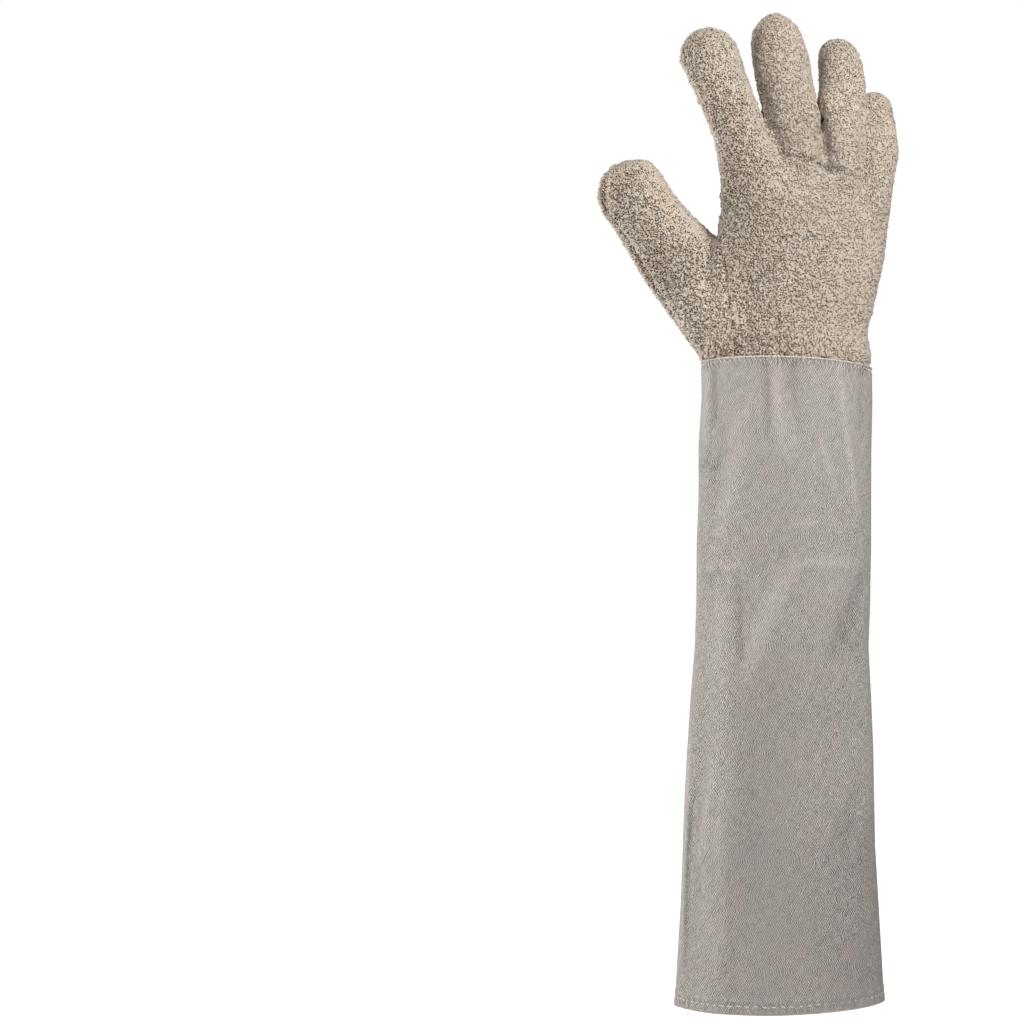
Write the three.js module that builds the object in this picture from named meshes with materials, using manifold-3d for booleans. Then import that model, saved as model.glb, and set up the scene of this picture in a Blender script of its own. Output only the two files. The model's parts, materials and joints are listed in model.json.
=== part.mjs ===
// A cotton terry work glove for the right hand with a long canvas gauntlet cuff, open as if worn.
// Millimetres, +Z from the arm opening to the fingertips, +X to the little-finger side, +Y to the palm.
// The origin is the middle of the arm opening, in the plane of the hem.
// The hand is lofted through oval rings, hollowed, and cut along its seams into the panels it is sewn from.
import * as THREE from "three";
import { mergeVertices } from "three/addons/utils/BufferGeometryUtils.js";
import Module from "manifold-3d";

const wasm = await Module();
wasm.setup();

// Driving dimensions
const wristHeight = 420.6;
const terryWall = 4;
const tuckedWall = 1.9;
const canvasWall = 1.2;
const foldedWall = 2.4;
const hemHeight = 10;
const topFoldHeight = 8;
const seamGap = 0.35;
const tuckDepth = 11;
const edgeRoll = 0.5;
const fingerMargin = 0.5;
const palmCrown = 9;

// The seam at the wrist runs lower on the little-finger side and on the palm side.
const wristSlope = { x: -0.038, y: -0.095 };

// The cuff's outside, from the hem to the wrist. left and right are its edges seen from the back.
const cuffRows = table("z left right halfDepth", [
  [0, -69.3, 68.0, 36],
  [35, -67.3, 66.0, 35.5],
  [70, -65.3, 64.0, 34],
  [103, -64.0, 62.0, 33.5],
  [136, -62.6, 61.3, 33],
  [168, -60.7, 60.7, 33],
  [201, -58.7, 59.4, 33],
  [234, -56.1, 57.6, 33],
  [262, -55.2, 58.6, 32.5],
  [300, -54.8, 59.4, 32.5],
  [332, -53.5, 59.4, 32],
  [365, -53.5, 59.4, 32],
  [398, -51.6, 60.0, 31.5],
  [wristHeight, -52.2, 60.0, 31.5],
]);

// Soft hollows (below zero) and folds of the cuff. angle is in degrees round the tube: 0 is the
// little-finger side, 90 the palm, 180 the thumb side and 270 the back of the hand.
const cuffFolds = table("z angle height rise wide tilt", [
  [95, 205, -2.6, 95, 12, 0],
  [110, 228, 2.0, 110, 12, 0],
  [130, 250, -1.8, 90, 13, 0.05],
  [45, 290, -1.6, 60, 18, 0],
  [240, 318, -3.0, 26, 20, -0.35],
  [268, 300, 1.8, 34, 22, -0.3],
  [188, 305, -1.6, 24, 30, 0.2],
  [330, 215, -1.8, 55, 16, 0],
  [372, 262, 1.2, 30, 30, 0],
  [385, 66, -2.8, 22, 22, 0.3],
  [330, 105, 2.0, 45, 26, 0.3],
  [250, 80, -2.4, 50, 24, -0.25],
  [150, 110, 2.0, 70, 26, 0],
  [90, 62, -2.2, 80, 16, 0],
]);

// The lengthwise seam of the cuff: a groove just on the palm side of the little-finger edge, and a raised
// fold of doubled canvas beside it. Its angle, in degrees, is less at the wrist than at the hem.
const sideSeam = { atHem: 35, atWrist: 25, halfAngle: 3.5, groove: -2.0, fold: 0.9 };

// The palm and back as one bag, from the edge tucked into the cuff up to the webs of the fingers. turn is the
// yaw in degrees, and slopeX and slopeY tilt a ring.
const palmRows = table("x y z halfWidth halfDepth turn slopeX slopeY", [
  [3.9, 0, wristHeight - tuckDepth, 52.4, 28.4, 0, wristSlope.x, wristSlope.y],
  [3.9, 0, wristHeight - 1, 52.8, 28.6, 0, wristSlope.x, wristSlope.y],
  [3.9, 0, wristHeight + 5, 55.2, 29.0, 1, wristSlope.x, -0.07],
  [4.3, 0, 447, 52.8, 26.5, 3, -0.06, -0.03],
  [8.6, 0.5, 472, 54.8, 24.5, 5, -0.08, 0],
  [13.0, 1, 498, 56.0, 22.6, 8, -0.12, 0],
  [16.4, 1.5, 521, 57.4, 18.6, 11, -0.17, 0],
  [17.6, 2.5, 541, 57.0, 13.5, 12, -0.22, 0],
]);

// Each finger and the thumb, from a root inside the palm to the middle of the rounded tip.
const digits = {
  thumb: table("x y z halfWidth halfDepth turn slopeX", [
    [-24, 3, 427, 30.5, 19, 0, -0.42],
    [-33, 5, 444, 29.8, 20, 0, -0.1],
    [-50, 8.5, 467.5, 27.8, 19.5, -3, 0],
    [-71.2, 12, 495.5, 25.2, 18, -6, 0],
    [-87.5, 15, 518.5, 23.6, 17, -8, 0],
    [-96.5, 16, 532, 23.2, 16, -8, 0],
  ]),
  index: table("x y z halfWidth halfDepth turn", [
    [-12, 0, 512, 17, 11, 9],
    [-17.5, -4.5, 539, 21.2, 15, 9],
    [-25.4, -6.5, 567, 19.0, 14.2, 9],
    [-34.0, -5.5, 587, 17.2, 13.6, 9],
    [-40.6, -3, 604.5, 18.8, 13.8, 9],
    [-46.0, 2, 622, 19.8, 14, 9],
  ]),
  middle: table("x y z halfWidth halfDepth turn", [
    [13, 1, 512, 16, 10, 10],
    [12, 1, 541, 18.4, 15, 10],
    [9.3, 2.5, 569, 18.0, 13.8, 10],
    [5.6, 5, 592, 18.8, 13.6, 10],
    [2.0, 9.5, 614, 19.4, 13.8, 10],
    [-0.7, 14, 633, 18.8, 13.8, 10],
  ]),
  ring: table("x y z halfWidth halfDepth turn", [
    [36, 4, 506, 14, 10, 12],
    [40, 5.5, 535, 15.8, 14, 12],
    [42.2, 8, 562, 15.2, 12.8, 12],
    [43.4, 12, 585, 15.4, 12.6, 12],
    [42.4, 17, 606, 15.6, 12.8, 12],
    [40.4, 22, 623, 15.0, 12.6, 12],
  ]),
  little: table("x y z halfWidth halfDepth turn", [
    [50, 6, 488, 13, 8, 12],
    [58.6, 10.5, 518, 15.2, 12.8, 14],
    [63.8, 15.5, 546, 14.0, 12.8, 14],
    [66.2, 21, 568, 13.4, 12.2, 14],
    [65.0, 27, 590, 13.0, 12.0, 14],
  ]),
};

// Where the seam between the palm side and the back lies: how far it stands towards the palm at each place.
const sideSeamRows = table("x z y", [
  [-53, 420, 2],
  [-90, 482, 6],
  [-120, 530, 11],
  [-97, 553, 13],
  [-58, 514, 7],
  [-38, 520, -1],
  [-52, 590, -3],
  [-66, 622, 2],
  [-22, 606, -1],
  [-20, 620, 8],
  [20, 620, 13],
  [22, 580, 4],
  [26, 606, 15],
  [56, 606, 18],
  [57, 580, 14],
  [78, 560, 22],
  [64, 590, 28],
  [74, 520, 12],
  [68, 490, 10],
  [60, 420, 9],
]);

// Seams seen on the back of the hand.
const thumbSeam = table("x z", [
  [-29, 400],
  [-31, 429],
  [-36, 470],
  [-42, 502],
  [-46, 520],
  [-50, 570],
]);
const fingerSeam = table("x z", [
  [-30, 562],
  [8, 553],
  [23.3, 549.6],
  [33.8, 545.5],
  [70, 537],
]);

// How finely the forms are faceted. crownAngles, in degrees, are the rings of a rounded tip.
const ringSides = { palm: 28, digit: 16 };
const ringSteps = { palm: 9, digit: 7 };
const crownAngles = [30, 60];
const cuffStep = 12;

// The cutters reach past the hand on every side.
const reach = { left: -160, right: 100, back: -120, palm: 120, low: 390, high: 680 };
const seamGrid = { columns: 14, rows: 14 };

const terry = {
  palm: new THREE.MeshStandardMaterial({ color: 0xb1a493, roughness: 0.96, metalness: 0 }),
  back: new THREE.MeshStandardMaterial({ color: 0xb5a796, roughness: 0.96, metalness: 0 }),
};
const canvas = new THREE.MeshStandardMaterial({ color: 0xa8a29b, roughness: 0.9, metalness: 0 });

// Rows of numbers as objects with named columns.
function table(columns, rows) {
  const names = columns.split(" ");
  return rows.map((row) => Object.fromEntries(row.map((value, i) => [names[i], value])));
}

// A smooth value between the rows of a table's column. at runs from 0 to the last row's number.
function between(rows, column, at) {
  const last = rows.length - 1;
  const i = Math.min(Math.floor(at), last - 1);
  const t = at - i;
  const value = (k) => rows[THREE.MathUtils.clamp(k, 0, last)][column] ?? 0;
  const [a, b, c, d] = [value(i - 1), value(i), value(i + 1), value(i + 2)];
  const slopeIn = (c - a) / 2;
  const slopeOut = (d - b) / 2;
  return (
    (2 * t ** 3 - 3 * t ** 2 + 1) * b +
    (t ** 3 - 2 * t ** 2 + t) * slopeIn +
    (3 * t ** 2 - 2 * t ** 3) * c +
    (t ** 3 - t ** 2) * slopeOut
  );
}

// A straight-line value of a column at a height, for tables with a z column.
function atHeight(rows, column, z) {
  const above = rows.findIndex((row, i) => i > 0 && row.z >= z);
  const [low, high] = [rows.at(above - 1), rows.at(above)];
  const t = THREE.MathUtils.clamp((z - low.z) / (high.z - low.z), 0, 1);
  return THREE.MathUtils.lerp(low[column], high[column], t);
}

// The centre of a lofted form at a place along it.
function centreOf(rows, at) {
  return new THREE.Vector3(between(rows, "x", at), between(rows, "y", at), between(rows, "z", at));
}

// One oval ring square to the centre line. wall is taken off its half width and half depth, and scale and
// lift make the rings of a rounded tip.
function ringAt(rows, at, { sides, wall, scale = 1, lift = 0 }) {
  const last = rows.length - 1;
  const step = 0.05;
  const ahead = centreOf(rows, Math.min(at + step, last));
  const along = ahead.sub(centreOf(rows, Math.max(at - step, 0))).normalize();
  const turn = THREE.MathUtils.degToRad(between(rows, "turn", at));
  const towardsPalm = new THREE.Vector3(-Math.sin(turn), Math.cos(turn), 0);
  const across = new THREE.Vector3().crossVectors(towardsPalm, along).normalize();
  const deep = new THREE.Vector3().crossVectors(along, across);
  const centre = centreOf(rows, at).addScaledVector(along, lift);
  const halfWidth = (between(rows, "halfWidth", at) - wall) * scale;
  const halfDepth = (between(rows, "halfDepth", at) - wall) * scale;
  const slope = { x: between(rows, "slopeX", at), y: between(rows, "slopeY", at) };
  return Array.from({ length: sides }, (_, k) => {
    const angle = (2 * Math.PI * k) / sides;
    const point = centre
      .clone()
      .addScaledVector(across, halfWidth * Math.cos(angle))
      .addScaledVector(deep, halfDepth * Math.sin(angle));
    point.z += slope.x * (point.x - centre.x) + slope.y * (point.y - centre.y);
    return point;
  });
}

// Rings of equal size joined into one closed solid. A fan closes each end, the first to the middle of its
// ring and the last to the tip.
function skin(rings, tip) {
  const sides = rings[0].length;
  const points = rings.flat();
  const faces = [];
  for (let r = 0; r + 1 < rings.length; r += 1) {
    for (let k = 0; k < sides; k += 1) {
      const next = (k + 1) % sides;
      const [a, b, c, d] = [r * sides + k, r * sides + next, (r + 1) * sides + next, (r + 1) * sides + k];
      faces.push([a, b, c], [a, c, d]);
    }
  }
  const start = points.push(middleOf(rings[0])) - 1;
  const end = points.push(tip) - 1;
  const top = (rings.length - 1) * sides;
  for (let k = 0; k < sides; k += 1) {
    const next = (k + 1) % sides;
    faces.push([start, next, k], [end, top + k, top + next]);
  }
  return solidFrom(points, faces);
}

function middleOf(ring) {
  return ring.reduce((sum, point) => sum.add(point), new THREE.Vector3()).divideScalar(ring.length);
}

// A closed, rounded form along a table's rows, made smaller by the wall thickness.
function loft(rows, { sides, steps, wall = 0, crown, drop = 0 }) {
  const last = rows.length - 1;
  const rings = [];
  if (drop > 0) rings.push(ringAt(rows, 0, { sides, wall: wallAt(wall, 0), lift: -drop }));
  for (let s = 0; s <= steps; s += 1) {
    const at = (last * s) / steps;
    rings.push(ringAt(rows, at, { sides, wall: wallAt(wall, at) }));
  }
  const crownHeight = (crown ?? rows[last].halfWidth) - wallAt(wall, last);
  for (const degrees of crownAngles) {
    const angle = THREE.MathUtils.degToRad(degrees);
    const shape = { scale: Math.cos(angle), lift: crownHeight * Math.sin(angle) };
    rings.push(ringAt(rows, last, { sides, wall: wallAt(wall, last), ...shape }));
  }
  const tip = middleOf(ringAt(rows, last, { sides, wall: wallAt(wall, last), lift: crownHeight }));
  return skin(rings, tip);
}

function wallAt(wall, at) {
  return typeof wall === "function" ? wall(at) : wall;
}

// A solid for joining and cutting, from points and triangles.
function solidFrom(points, faces) {
  const mesh = new wasm.Mesh({
    numProp: 3,
    vertProperties: new Float32Array(points.flatMap((point) => point.toArray())),
    triVerts: new Uint32Array(faces.flat()),
  });
  return new wasm.Manifold(mesh);
}

// The same from a three.js geometry, whose corners are merged first.
function solidOf(geometry) {
  const bare = new THREE.BufferGeometry();
  bare.setAttribute("position", geometry.getAttribute("position"));
  bare.setIndex(geometry.index);
  const merged = mergeVertices(bare, 1e-4);
  const mesh = new wasm.Mesh({
    numProp: 3,
    vertProperties: merged.attributes.position.array,
    triVerts: new Uint32Array(merged.index.array),
  });
  return new wasm.Manifold(mesh);
}

// A cutter with an outline in X and Z, right through the hand along Y.
function upright(outline) {
  const shape = new THREE.Shape(outline.map(({ x, z }) => new THREE.Vector2(x, z)));
  const geometry = new THREE.ExtrudeGeometry(shape, { depth: reach.palm - reach.back, bevelEnabled: false });
  geometry.rotateX(Math.PI / 2);
  geometry.translate(0, reach.palm, 0);
  return solidOf(geometry);
}

// How far towards the palm the side seam lies near a place: the near seam points count most.
function seamLevel(x, z) {
  let sum = 0;
  let total = 0;
  for (const row of sideSeamRows) {
    const weight = 1 / ((x - row.x) ** 2 + (z - row.z) ** 2 + 30) ** 1.5;
    sum += weight * row.y;
    total += weight;
  }
  return sum / total;
}

// A block whose one face follows the side seam and whose other face is flat, on the palm side or the back.
function seamBlock(offset, farY) {
  const { columns, rows } = seamGrid;
  const points = [];
  const faces = [];
  const corner = (layer, row, column) => (layer * (rows + 1) + row) * (columns + 1) + column;
  for (const layer of [0, 1]) {
    for (let row = 0; row <= rows; row += 1) {
      for (let column = 0; column <= columns; column += 1) {
        const x = THREE.MathUtils.lerp(reach.left, reach.right, column / columns);
        const z = THREE.MathUtils.lerp(reach.low, reach.high, row / rows);
        points.push(new THREE.Vector3(x, layer ? farY : seamLevel(x, z) + offset, z));
      }
    }
  }
  const isBack = farY < 0;
  const add = (a, b, c, d) => faces.push(...(isBack ? [[a, c, b], [a, d, c]] : [[a, b, c], [a, c, d]]));
  for (let row = 0; row < rows; row += 1) {
    for (let column = 0; column < columns; column += 1) {
      const at = (layer, r, c) => corner(layer, row + r, column + c);
      add(at(0, 0, 0), at(0, 0, 1), at(0, 1, 1), at(0, 1, 0));
      add(at(1, 0, 0), at(1, 1, 0), at(1, 1, 1), at(1, 0, 1));
    }
    add(corner(0, row, 0), corner(0, row + 1, 0), corner(1, row + 1, 0), corner(1, row, 0));
    const last = (layer, r) => corner(layer, r, columns);
    add(last(0, row), last(1, row), last(1, row + 1), last(0, row + 1));
  }
  for (let column = 0; column < columns; column += 1) {
    add(corner(0, 0, column), corner(1, 0, column), corner(1, 0, column + 1), corner(0, 0, column + 1));
    const top = (layer, c) => corner(layer, rows, c);
    add(top(0, column), top(0, column + 1), top(1, column + 1), top(1, column));
  }
  return solidFrom(points, faces);
}

// The whole hand, or some of its digits, as one solid made smaller by a wall.
function hand({ wall = 0, palmWall = wall, drop = 0, names = Object.keys(digits), withPalm = true }) {
  const digitForms = names.map((name) =>
    loft(digits[name], { sides: ringSides.digit, steps: ringSteps.digit, wall }),
  );
  const palmForm = loft(palmRows, {
    sides: ringSides.palm,
    steps: ringSteps.palm,
    wall: palmWall,
    crown: palmCrown,
    drop,
  });
  return wasm.Manifold.union(withPalm ? [palmForm, ...digitForms] : digitForms);
}

// The terry is thinner where it is tucked into the cuff.
function palmWallAt(at) {
  return THREE.MathUtils.lerp(tuckedWall, terryWall, THREE.MathUtils.smoothstep(at, 1, 3));
}

// The sewn panels of the hand, cut from its hollow shell with a narrow gap at each seam.
function terryPanels() {
  const inside = hand({ wall: terryWall, palmWall: palmWallAt, drop: 6 });
  const shell = hand({}).subtract(inside);
  const palmSide = shell.intersect(seamBlock(seamGap / 2, reach.palm));
  const backSide = shell.intersect(seamBlock(-seamGap / 2, reach.back));

  const thumbSide = (offset) => {
    const seam = thumbSeam.map(({ x, z }) => ({ x: x + offset, z }));
    const [low, high] = [seam[0].z, seam.at(-1).z];
    return upright([...seam, { x: reach.left, z: high }, { x: reach.left, z: low }]);
  };
  const withoutThumb = backSide.subtract(thumbSide(seamGap));

  const fingers = (grown) => hand({ wall: -grown, names: ["middle", "ring"], withPalm: false });
  const aboveSeam = (offset) => {
    const seam = fingerSeam.map(({ x, z }) => ({ x, z: z + offset }));
    const [left, right] = [seam[0].x, seam.at(-1).x];
    return upright([...seam, { x: right, z: reach.high }, { x: left, z: reach.high }]);
  };
  const fingerRegion = fingers(fingerMargin + seamGap).intersect(aboveSeam(-seamGap));
  return {
    palm_panel: [palmSide, terry.palm],
    back_panel: [withoutThumb.subtract(fingerRegion), terry.back],
    middle_ring_panel: [withoutThumb.intersect(fingers(fingerMargin)).intersect(aboveSeam(0)), terry.back],
    thumb_panel: [backSide.intersect(thumbSide(0)), terry.back],
  };
}

// How far the cuff's folds move its wall outwards at a height and an angle. Where the top edge is folded
// double, the seam's groove shows outside only.
function foldAt(z, degrees, isInside) {
  const around = (a, b) => ((a - b + 540) % 360) - 180;
  const soft = cuffFolds.reduce((sum, fold) => {
    const side = around(degrees, fold.angle + fold.tilt * (z - fold.z)) / fold.wide;
    const up = (z - fold.z) / fold.rise;
    return sum + fold.height * Math.exp(-(side ** 2) - up ** 2);
  }, 0);
  const nearEnd = THREE.MathUtils.smoothstep(wristHeight - z, 0, 30);
  const fromSeam = around(degrees, seamAngle(z)) / sideSeam.halfAngle;
  const share = isInside ? nearEnd : 0.45 + 0.55 * nearEnd;
  const groove = sideSeam.groove * Math.max(0, 1 - Math.abs(fromSeam));
  const fold = sideSeam.fold * Math.max(0, 1 - Math.abs(fromSeam - 2));
  return soft * nearEnd + (groove + fold) * share;
}

function seamAngle(z) {
  return THREE.MathUtils.lerp(sideSeam.atHem, sideSeam.atWrist, z / wristHeight);
}

// The angles of the cuff's columns at a height: even steps, with closer ones at the side seam.
function cuffAngles(z) {
  const even = Array.from({ length: 360 / cuffStep }, (_, k) => k * cuffStep);
  const near = [-1, 0, 1, 2, 3].map((k) => seamAngle(z) + k * sideSeam.halfAngle);
  const isClear = (angle) => angle < sideSeam.atWrist - cuffStep || angle > sideSeam.atHem + cuffStep;
  return [...even.filter(isClear), ...near].sort((a, b) => a - b);
}

// A ring of the cuff at a height, drawn in from its outside by an inset.
function cuffRing(z, inset, isInside) {
  const left = atHeight(cuffRows, "left", z) + inset;
  const right = atHeight(cuffRows, "right", z) - inset;
  const halfDepth = atHeight(cuffRows, "halfDepth", z) - inset;
  const lean = THREE.MathUtils.smoothstep(z, 250, wristHeight);
  return cuffAngles(z).map((degrees) => {
    const angle = THREE.MathUtils.degToRad(degrees);
    const out = foldAt(z, degrees, isInside);
    const x = (left + right) / 2 + ((right - left) / 2 + out) * Math.cos(angle);
    const y = (halfDepth + out) * Math.sin(angle);
    return new THREE.Vector3(x, y, z + lean * (wristSlope.x * x + wristSlope.y * y));
  });
}

// The cuff: up the outside, over the folded top edge, down the inside and round the doubled hem.
function cuffSolid() {
  const outside = [0, 1.2, hemHeight, 32, 60, 90, 120, 150, 180, 205, 230, 255, 280, 310, 340, 370];
  outside.push(394, wristHeight - topFoldHeight, wristHeight - 0.8, wristHeight);
  const turnIn = (z) => (z <= hemHeight || z >= wristHeight - topFoldHeight ? foldedWall : canvasWall);
  const roll = (z) => (z === 0 || z === wristHeight ? edgeRoll : 0);
  const rings = outside.map((z) => cuffRing(z, roll(z), false));
  for (const z of outside.toReversed()) rings.push(cuffRing(z, turnIn(z) - roll(z), true));
  const sides = rings[0].length;
  const faces = [];
  rings.forEach((_, r) => {
    const above = (r + 1) % rings.length;
    for (let k = 0; k < sides; k += 1) {
      const next = (k + 1) % sides;
      const [a, b] = [r * sides + k, r * sides + next];
      const [c, d] = [above * sides + next, above * sides + k];
      faces.push([a, b, c], [a, c, d]);
    }
  });
  return solidFrom(rings.flat(), faces);
}

// A named mesh from a solid.
function piece(name, solid, material) {
  const { vertProperties, triVerts } = solid.getMesh();
  const geometry = new THREE.BufferGeometry();
  geometry.setAttribute("position", new THREE.BufferAttribute(vertProperties, 3));
  geometry.setIndex(new THREE.BufferAttribute(triVerts, 1));
  geometry.computeVertexNormals();
  const mesh = new THREE.Mesh(geometry, material);
  mesh.name = name;
  return mesh;
}

const glove = new THREE.Group();
const panels = Object.entries(terryPanels());
for (const [name, [solid, material]] of panels) glove.add(piece(name, solid, material));
glove.add(piece("canvas_cuff", cuffSolid(), canvas));

export default glove;
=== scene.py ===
# Dresses the cotton terry glove: the looped hand, the canvas gauntlet cuff and its stitching.
# Metres, +Z from the arm opening to the fingertips, +X to the little-finger side, +Y to the palm.
import bpy
import json
import math
import random
from mathutils import Matrix, Vector
from mathutils.bvhtree import BVHTree
from mathutils.kdtree import KDTree

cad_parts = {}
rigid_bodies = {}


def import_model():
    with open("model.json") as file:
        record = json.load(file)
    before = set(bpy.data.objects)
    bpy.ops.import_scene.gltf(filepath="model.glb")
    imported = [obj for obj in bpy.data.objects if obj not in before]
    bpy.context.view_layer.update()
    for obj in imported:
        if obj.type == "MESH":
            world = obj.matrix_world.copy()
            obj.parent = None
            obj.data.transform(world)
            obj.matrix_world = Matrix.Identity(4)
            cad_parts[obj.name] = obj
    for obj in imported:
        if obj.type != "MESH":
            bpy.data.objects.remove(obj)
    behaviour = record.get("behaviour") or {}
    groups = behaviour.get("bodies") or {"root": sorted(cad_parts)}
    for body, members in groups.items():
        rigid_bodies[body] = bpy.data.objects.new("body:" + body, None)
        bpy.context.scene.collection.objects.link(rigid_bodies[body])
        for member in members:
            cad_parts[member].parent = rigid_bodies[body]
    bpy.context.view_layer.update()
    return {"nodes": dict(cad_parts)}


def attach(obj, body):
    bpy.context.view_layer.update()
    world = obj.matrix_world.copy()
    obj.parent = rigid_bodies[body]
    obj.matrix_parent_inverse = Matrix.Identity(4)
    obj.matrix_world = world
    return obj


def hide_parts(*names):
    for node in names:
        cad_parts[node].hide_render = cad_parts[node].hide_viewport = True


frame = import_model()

bpy.ops.object.select_all(action="DESELECT")
mm = 0.001


# small helpers

def table(columns, rows):  # rows of numbers as dictionaries with named columns
    names = columns.split()
    return [dict(zip(names, row)) for row in rows]


def smoothStep(value, low, high):
    t = min(max((value - low) / (high - low), 0.0), 1.0)
    return t * t * (3 - 2 * t)


def bell(across, along=0.0):  # 1 in the middle, falling to 1/e at a distance of one
    return math.exp(-(across ** 2) - along ** 2)


def turnFrom(degrees, zero):  # between -180 and 180
    return (degrees - zero + 180) % 360 - 180


def atHeight(rows, column, z):  # straight between the rows of a table with a z column
    for low, high in zip(rows[:-1], rows[1:]):
        if z <= high["z"] or high is rows[-1]:
            t = min(max((z - low["z"]) / (high["z"] - low["z"]), 0.0), 1.0)
            return low[column] + (high[column] - low[column]) * t


ripple = {"waves": 6, "fineness": (0.7, 1.7), "calm": 3.2}


def rippleWaves(seed):  # directions and shifts of a few smooth waves, the same on every run
    dice = random.Random(seed)
    waves = []
    for _ in range(ripple["waves"]):
        way = Vector((dice.gauss(0, 1), dice.gauss(0, 1), dice.gauss(0, 1))).normalized()
        waves.append((way * dice.uniform(*ripple["fineness"]), dice.uniform(0, 2 * math.pi)))
    return waves


def rippled(place, waves):  # their sum at a place, about -1 to 1
    return sum(math.sin(place.dot(way) + shift) for way, shift in waves) / ripple["calm"]


crease = {"steps": 8, "reach": 2.6, "fades": (-0.05, 0.28)}


def creaseCurve(row):  # places along a crease, with the box that it reaches
    startX, startZ, endX, endZ = row["startX"], row["startZ"], row["endX"], row["endZ"]
    bendX, bendZ = 2 * row["midX"] - (startX + endX) / 2, 2 * row["midZ"] - (startZ + endZ) / 2
    places = []
    for k in range(crease["steps"] + 1):
        t = k / crease["steps"]
        a, b, c = (1 - t) ** 2, 2 * t * (1 - t), t * t
        places.append((a * startX + b * bendX + c * endX, a * startZ + b * bendZ + c * endZ))
    reach = crease["reach"] * row["wide"]
    xs, zs = zip(*places)
    return {"places": places, "height": row["height"], "wide": row["wide"],
            "box": (min(xs) - reach, max(xs) + reach, min(zs) - reach, max(zs) + reach)}


def creasesAt(curves, x, z):
    total = 0.0
    for curve in curves:
        left, right, low, high = curve["box"]
        if not (left < x < right and low < z < high):
            continue
        places = curve["places"]
        nearest, along = math.inf, 0.0
        for k, ((ax, az), (bx, bz)) in enumerate(zip(places[:-1], places[1:])):
            dx, dz = bx - ax, bz - az
            t = min(max(((x - ax) * dx + (z - az) * dz) / (dx * dx + dz * dz), 0.0), 1.0)
            gap = math.hypot(x - ax - t * dx, z - az - t * dz)
            if gap < nearest:
                nearest, along = gap, (k + t) / (len(places) - 1)
        fade = smoothStep(min(along, 1 - along), *crease["fades"])
        total += curve["height"] * fade * bell(nearest / curve["wide"])
    return total


def activate(piece, others=()):
    bpy.ops.object.select_all(action="DESELECT")
    for one in (piece, *others):
        one.select_set(True)
    bpy.context.view_layer.objects.active = piece


def joined(pieces, name):  # all of them as the first one
    activate(pieces[0], pieces[1:])
    bpy.ops.object.join()
    pieces[0].name = name
    return pieces[0]


def applied(piece, kind, **settings):  # adds a modifier with these settings and applies it
    activate(piece)
    modifier = piece.modifiers.new(kind.title(), kind)
    for name, value in settings.items():
        setattr(modifier, name, value)
    bpy.ops.object.modifier_apply(modifier=modifier.name)


def edited(piece, *steps):  # edit-mode steps, the first of them on all of the piece
    activate(piece)
    bpy.ops.object.mode_set(mode="EDIT")
    bpy.ops.mesh.select_all(action="SELECT")
    for step in steps:
        step()
    bpy.ops.object.mode_set(mode="OBJECT")


def mergeDoubles():
    bpy.ops.mesh.remove_doubles(threshold=1e-6)


def faceOutwards():
    bpy.ops.mesh.normals_make_consistent(inside=False)


def extrudeUp():
    bpy.ops.mesh.extrude_region_move(TRANSFORM_OT_translate={"value": (0, 0, mm)})


def newPiece(name, mesh):
    piece = bpy.data.objects.new(name, mesh)
    bpy.context.collection.objects.link(piece)
    return piece


def finished(piece, material):  # one material all over, shaded smooth
    piece.data.materials.clear()
    piece.data.materials.append(material)
    piece.data.polygons.foreach_set("use_smooth", [True] * len(piece.data.polygons))
    return piece


def attributeOn(mesh, name, values, domain="POINT"):
    mesh.attributes.new(name, "FLOAT", domain).data.foreach_set("value", values)


# shader node groups and materials

def fill(tree, node, inputs):  # inputs by name or number; the node is placed to the right of what feeds it
    for label, value in inputs.items():
        if isinstance(value, bpy.types.NodeSocket):
            tree.links.new(value, node.inputs[label])
            node.location.x = max(node.location.x, value.node.location.x + 220)
        else:
            node.inputs[label].default_value = value
    column = [other for other in tree.nodes if other != node and other.location.x == node.location.x]
    node.location.y = -220 * len(column)
    return node


def nodeIn(tree, kind, inputs=None, **settings):
    node = tree.nodes.new(kind)
    for name, value in settings.items():
        setattr(node, name, value)
    return fill(tree, node, inputs or {})


def makeGroup(name, inputs, outputs):  # an input without a value is a place, and every output is a value
    tree = bpy.data.node_groups.new(name, "ShaderNodeTree")
    for label, value in inputs.items():
        kind = "Vector" if value is None else "Float"
        socket = tree.interface.new_socket(label, in_out="INPUT", socket_type=f"NodeSocket{kind}")
        if value is not None:
            socket.default_value = value
    for label in outputs:
        tree.interface.new_socket(label, in_out="OUTPUT", socket_type="NodeSocketFloat")
    return tree, nodeIn(tree, "NodeGroupInput").outputs, nodeIn(tree, "NodeGroupOutput")


def placeGroup(tree, group, **values):  # inputs by name, with _ for a space
    inputs = {label.replace("_", " "): value for label, value in values.items()}
    return nodeIn(tree, "ShaderNodeGroup", inputs, node_tree=group).outputs


def mathNode(tree, operation, first, second=None, clamp=False):
    inputs = {0: first} if second is None else {0: first, 1: second}
    return nodeIn(tree, "ShaderNodeMath", inputs, operation=operation, use_clamp=clamp).outputs[0]


def vectorNode(tree, operation, first, second=None):
    inputs = {0: first} if second is None else {0: first, 1: second}
    return nodeIn(tree, "ShaderNodeVectorMath", inputs, operation=operation).outputs


def chained(tree, value, *steps):  # operations in a row, each with its other value if it takes one
    for operation, *other in steps:
        value = mathNode(tree, operation, value, *other)
    return value


def inRange(tree, value, span, to=(0.0, 1.0), **settings):  # carries a span of values over to another
    return nodeIn(tree, "ShaderNodeMapRange", {
        "Value": value, "From Min": span[0], "From Max": span[1], "To Min": to[0], "To Max": to[1],
    }, **settings).outputs[0]


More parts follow.
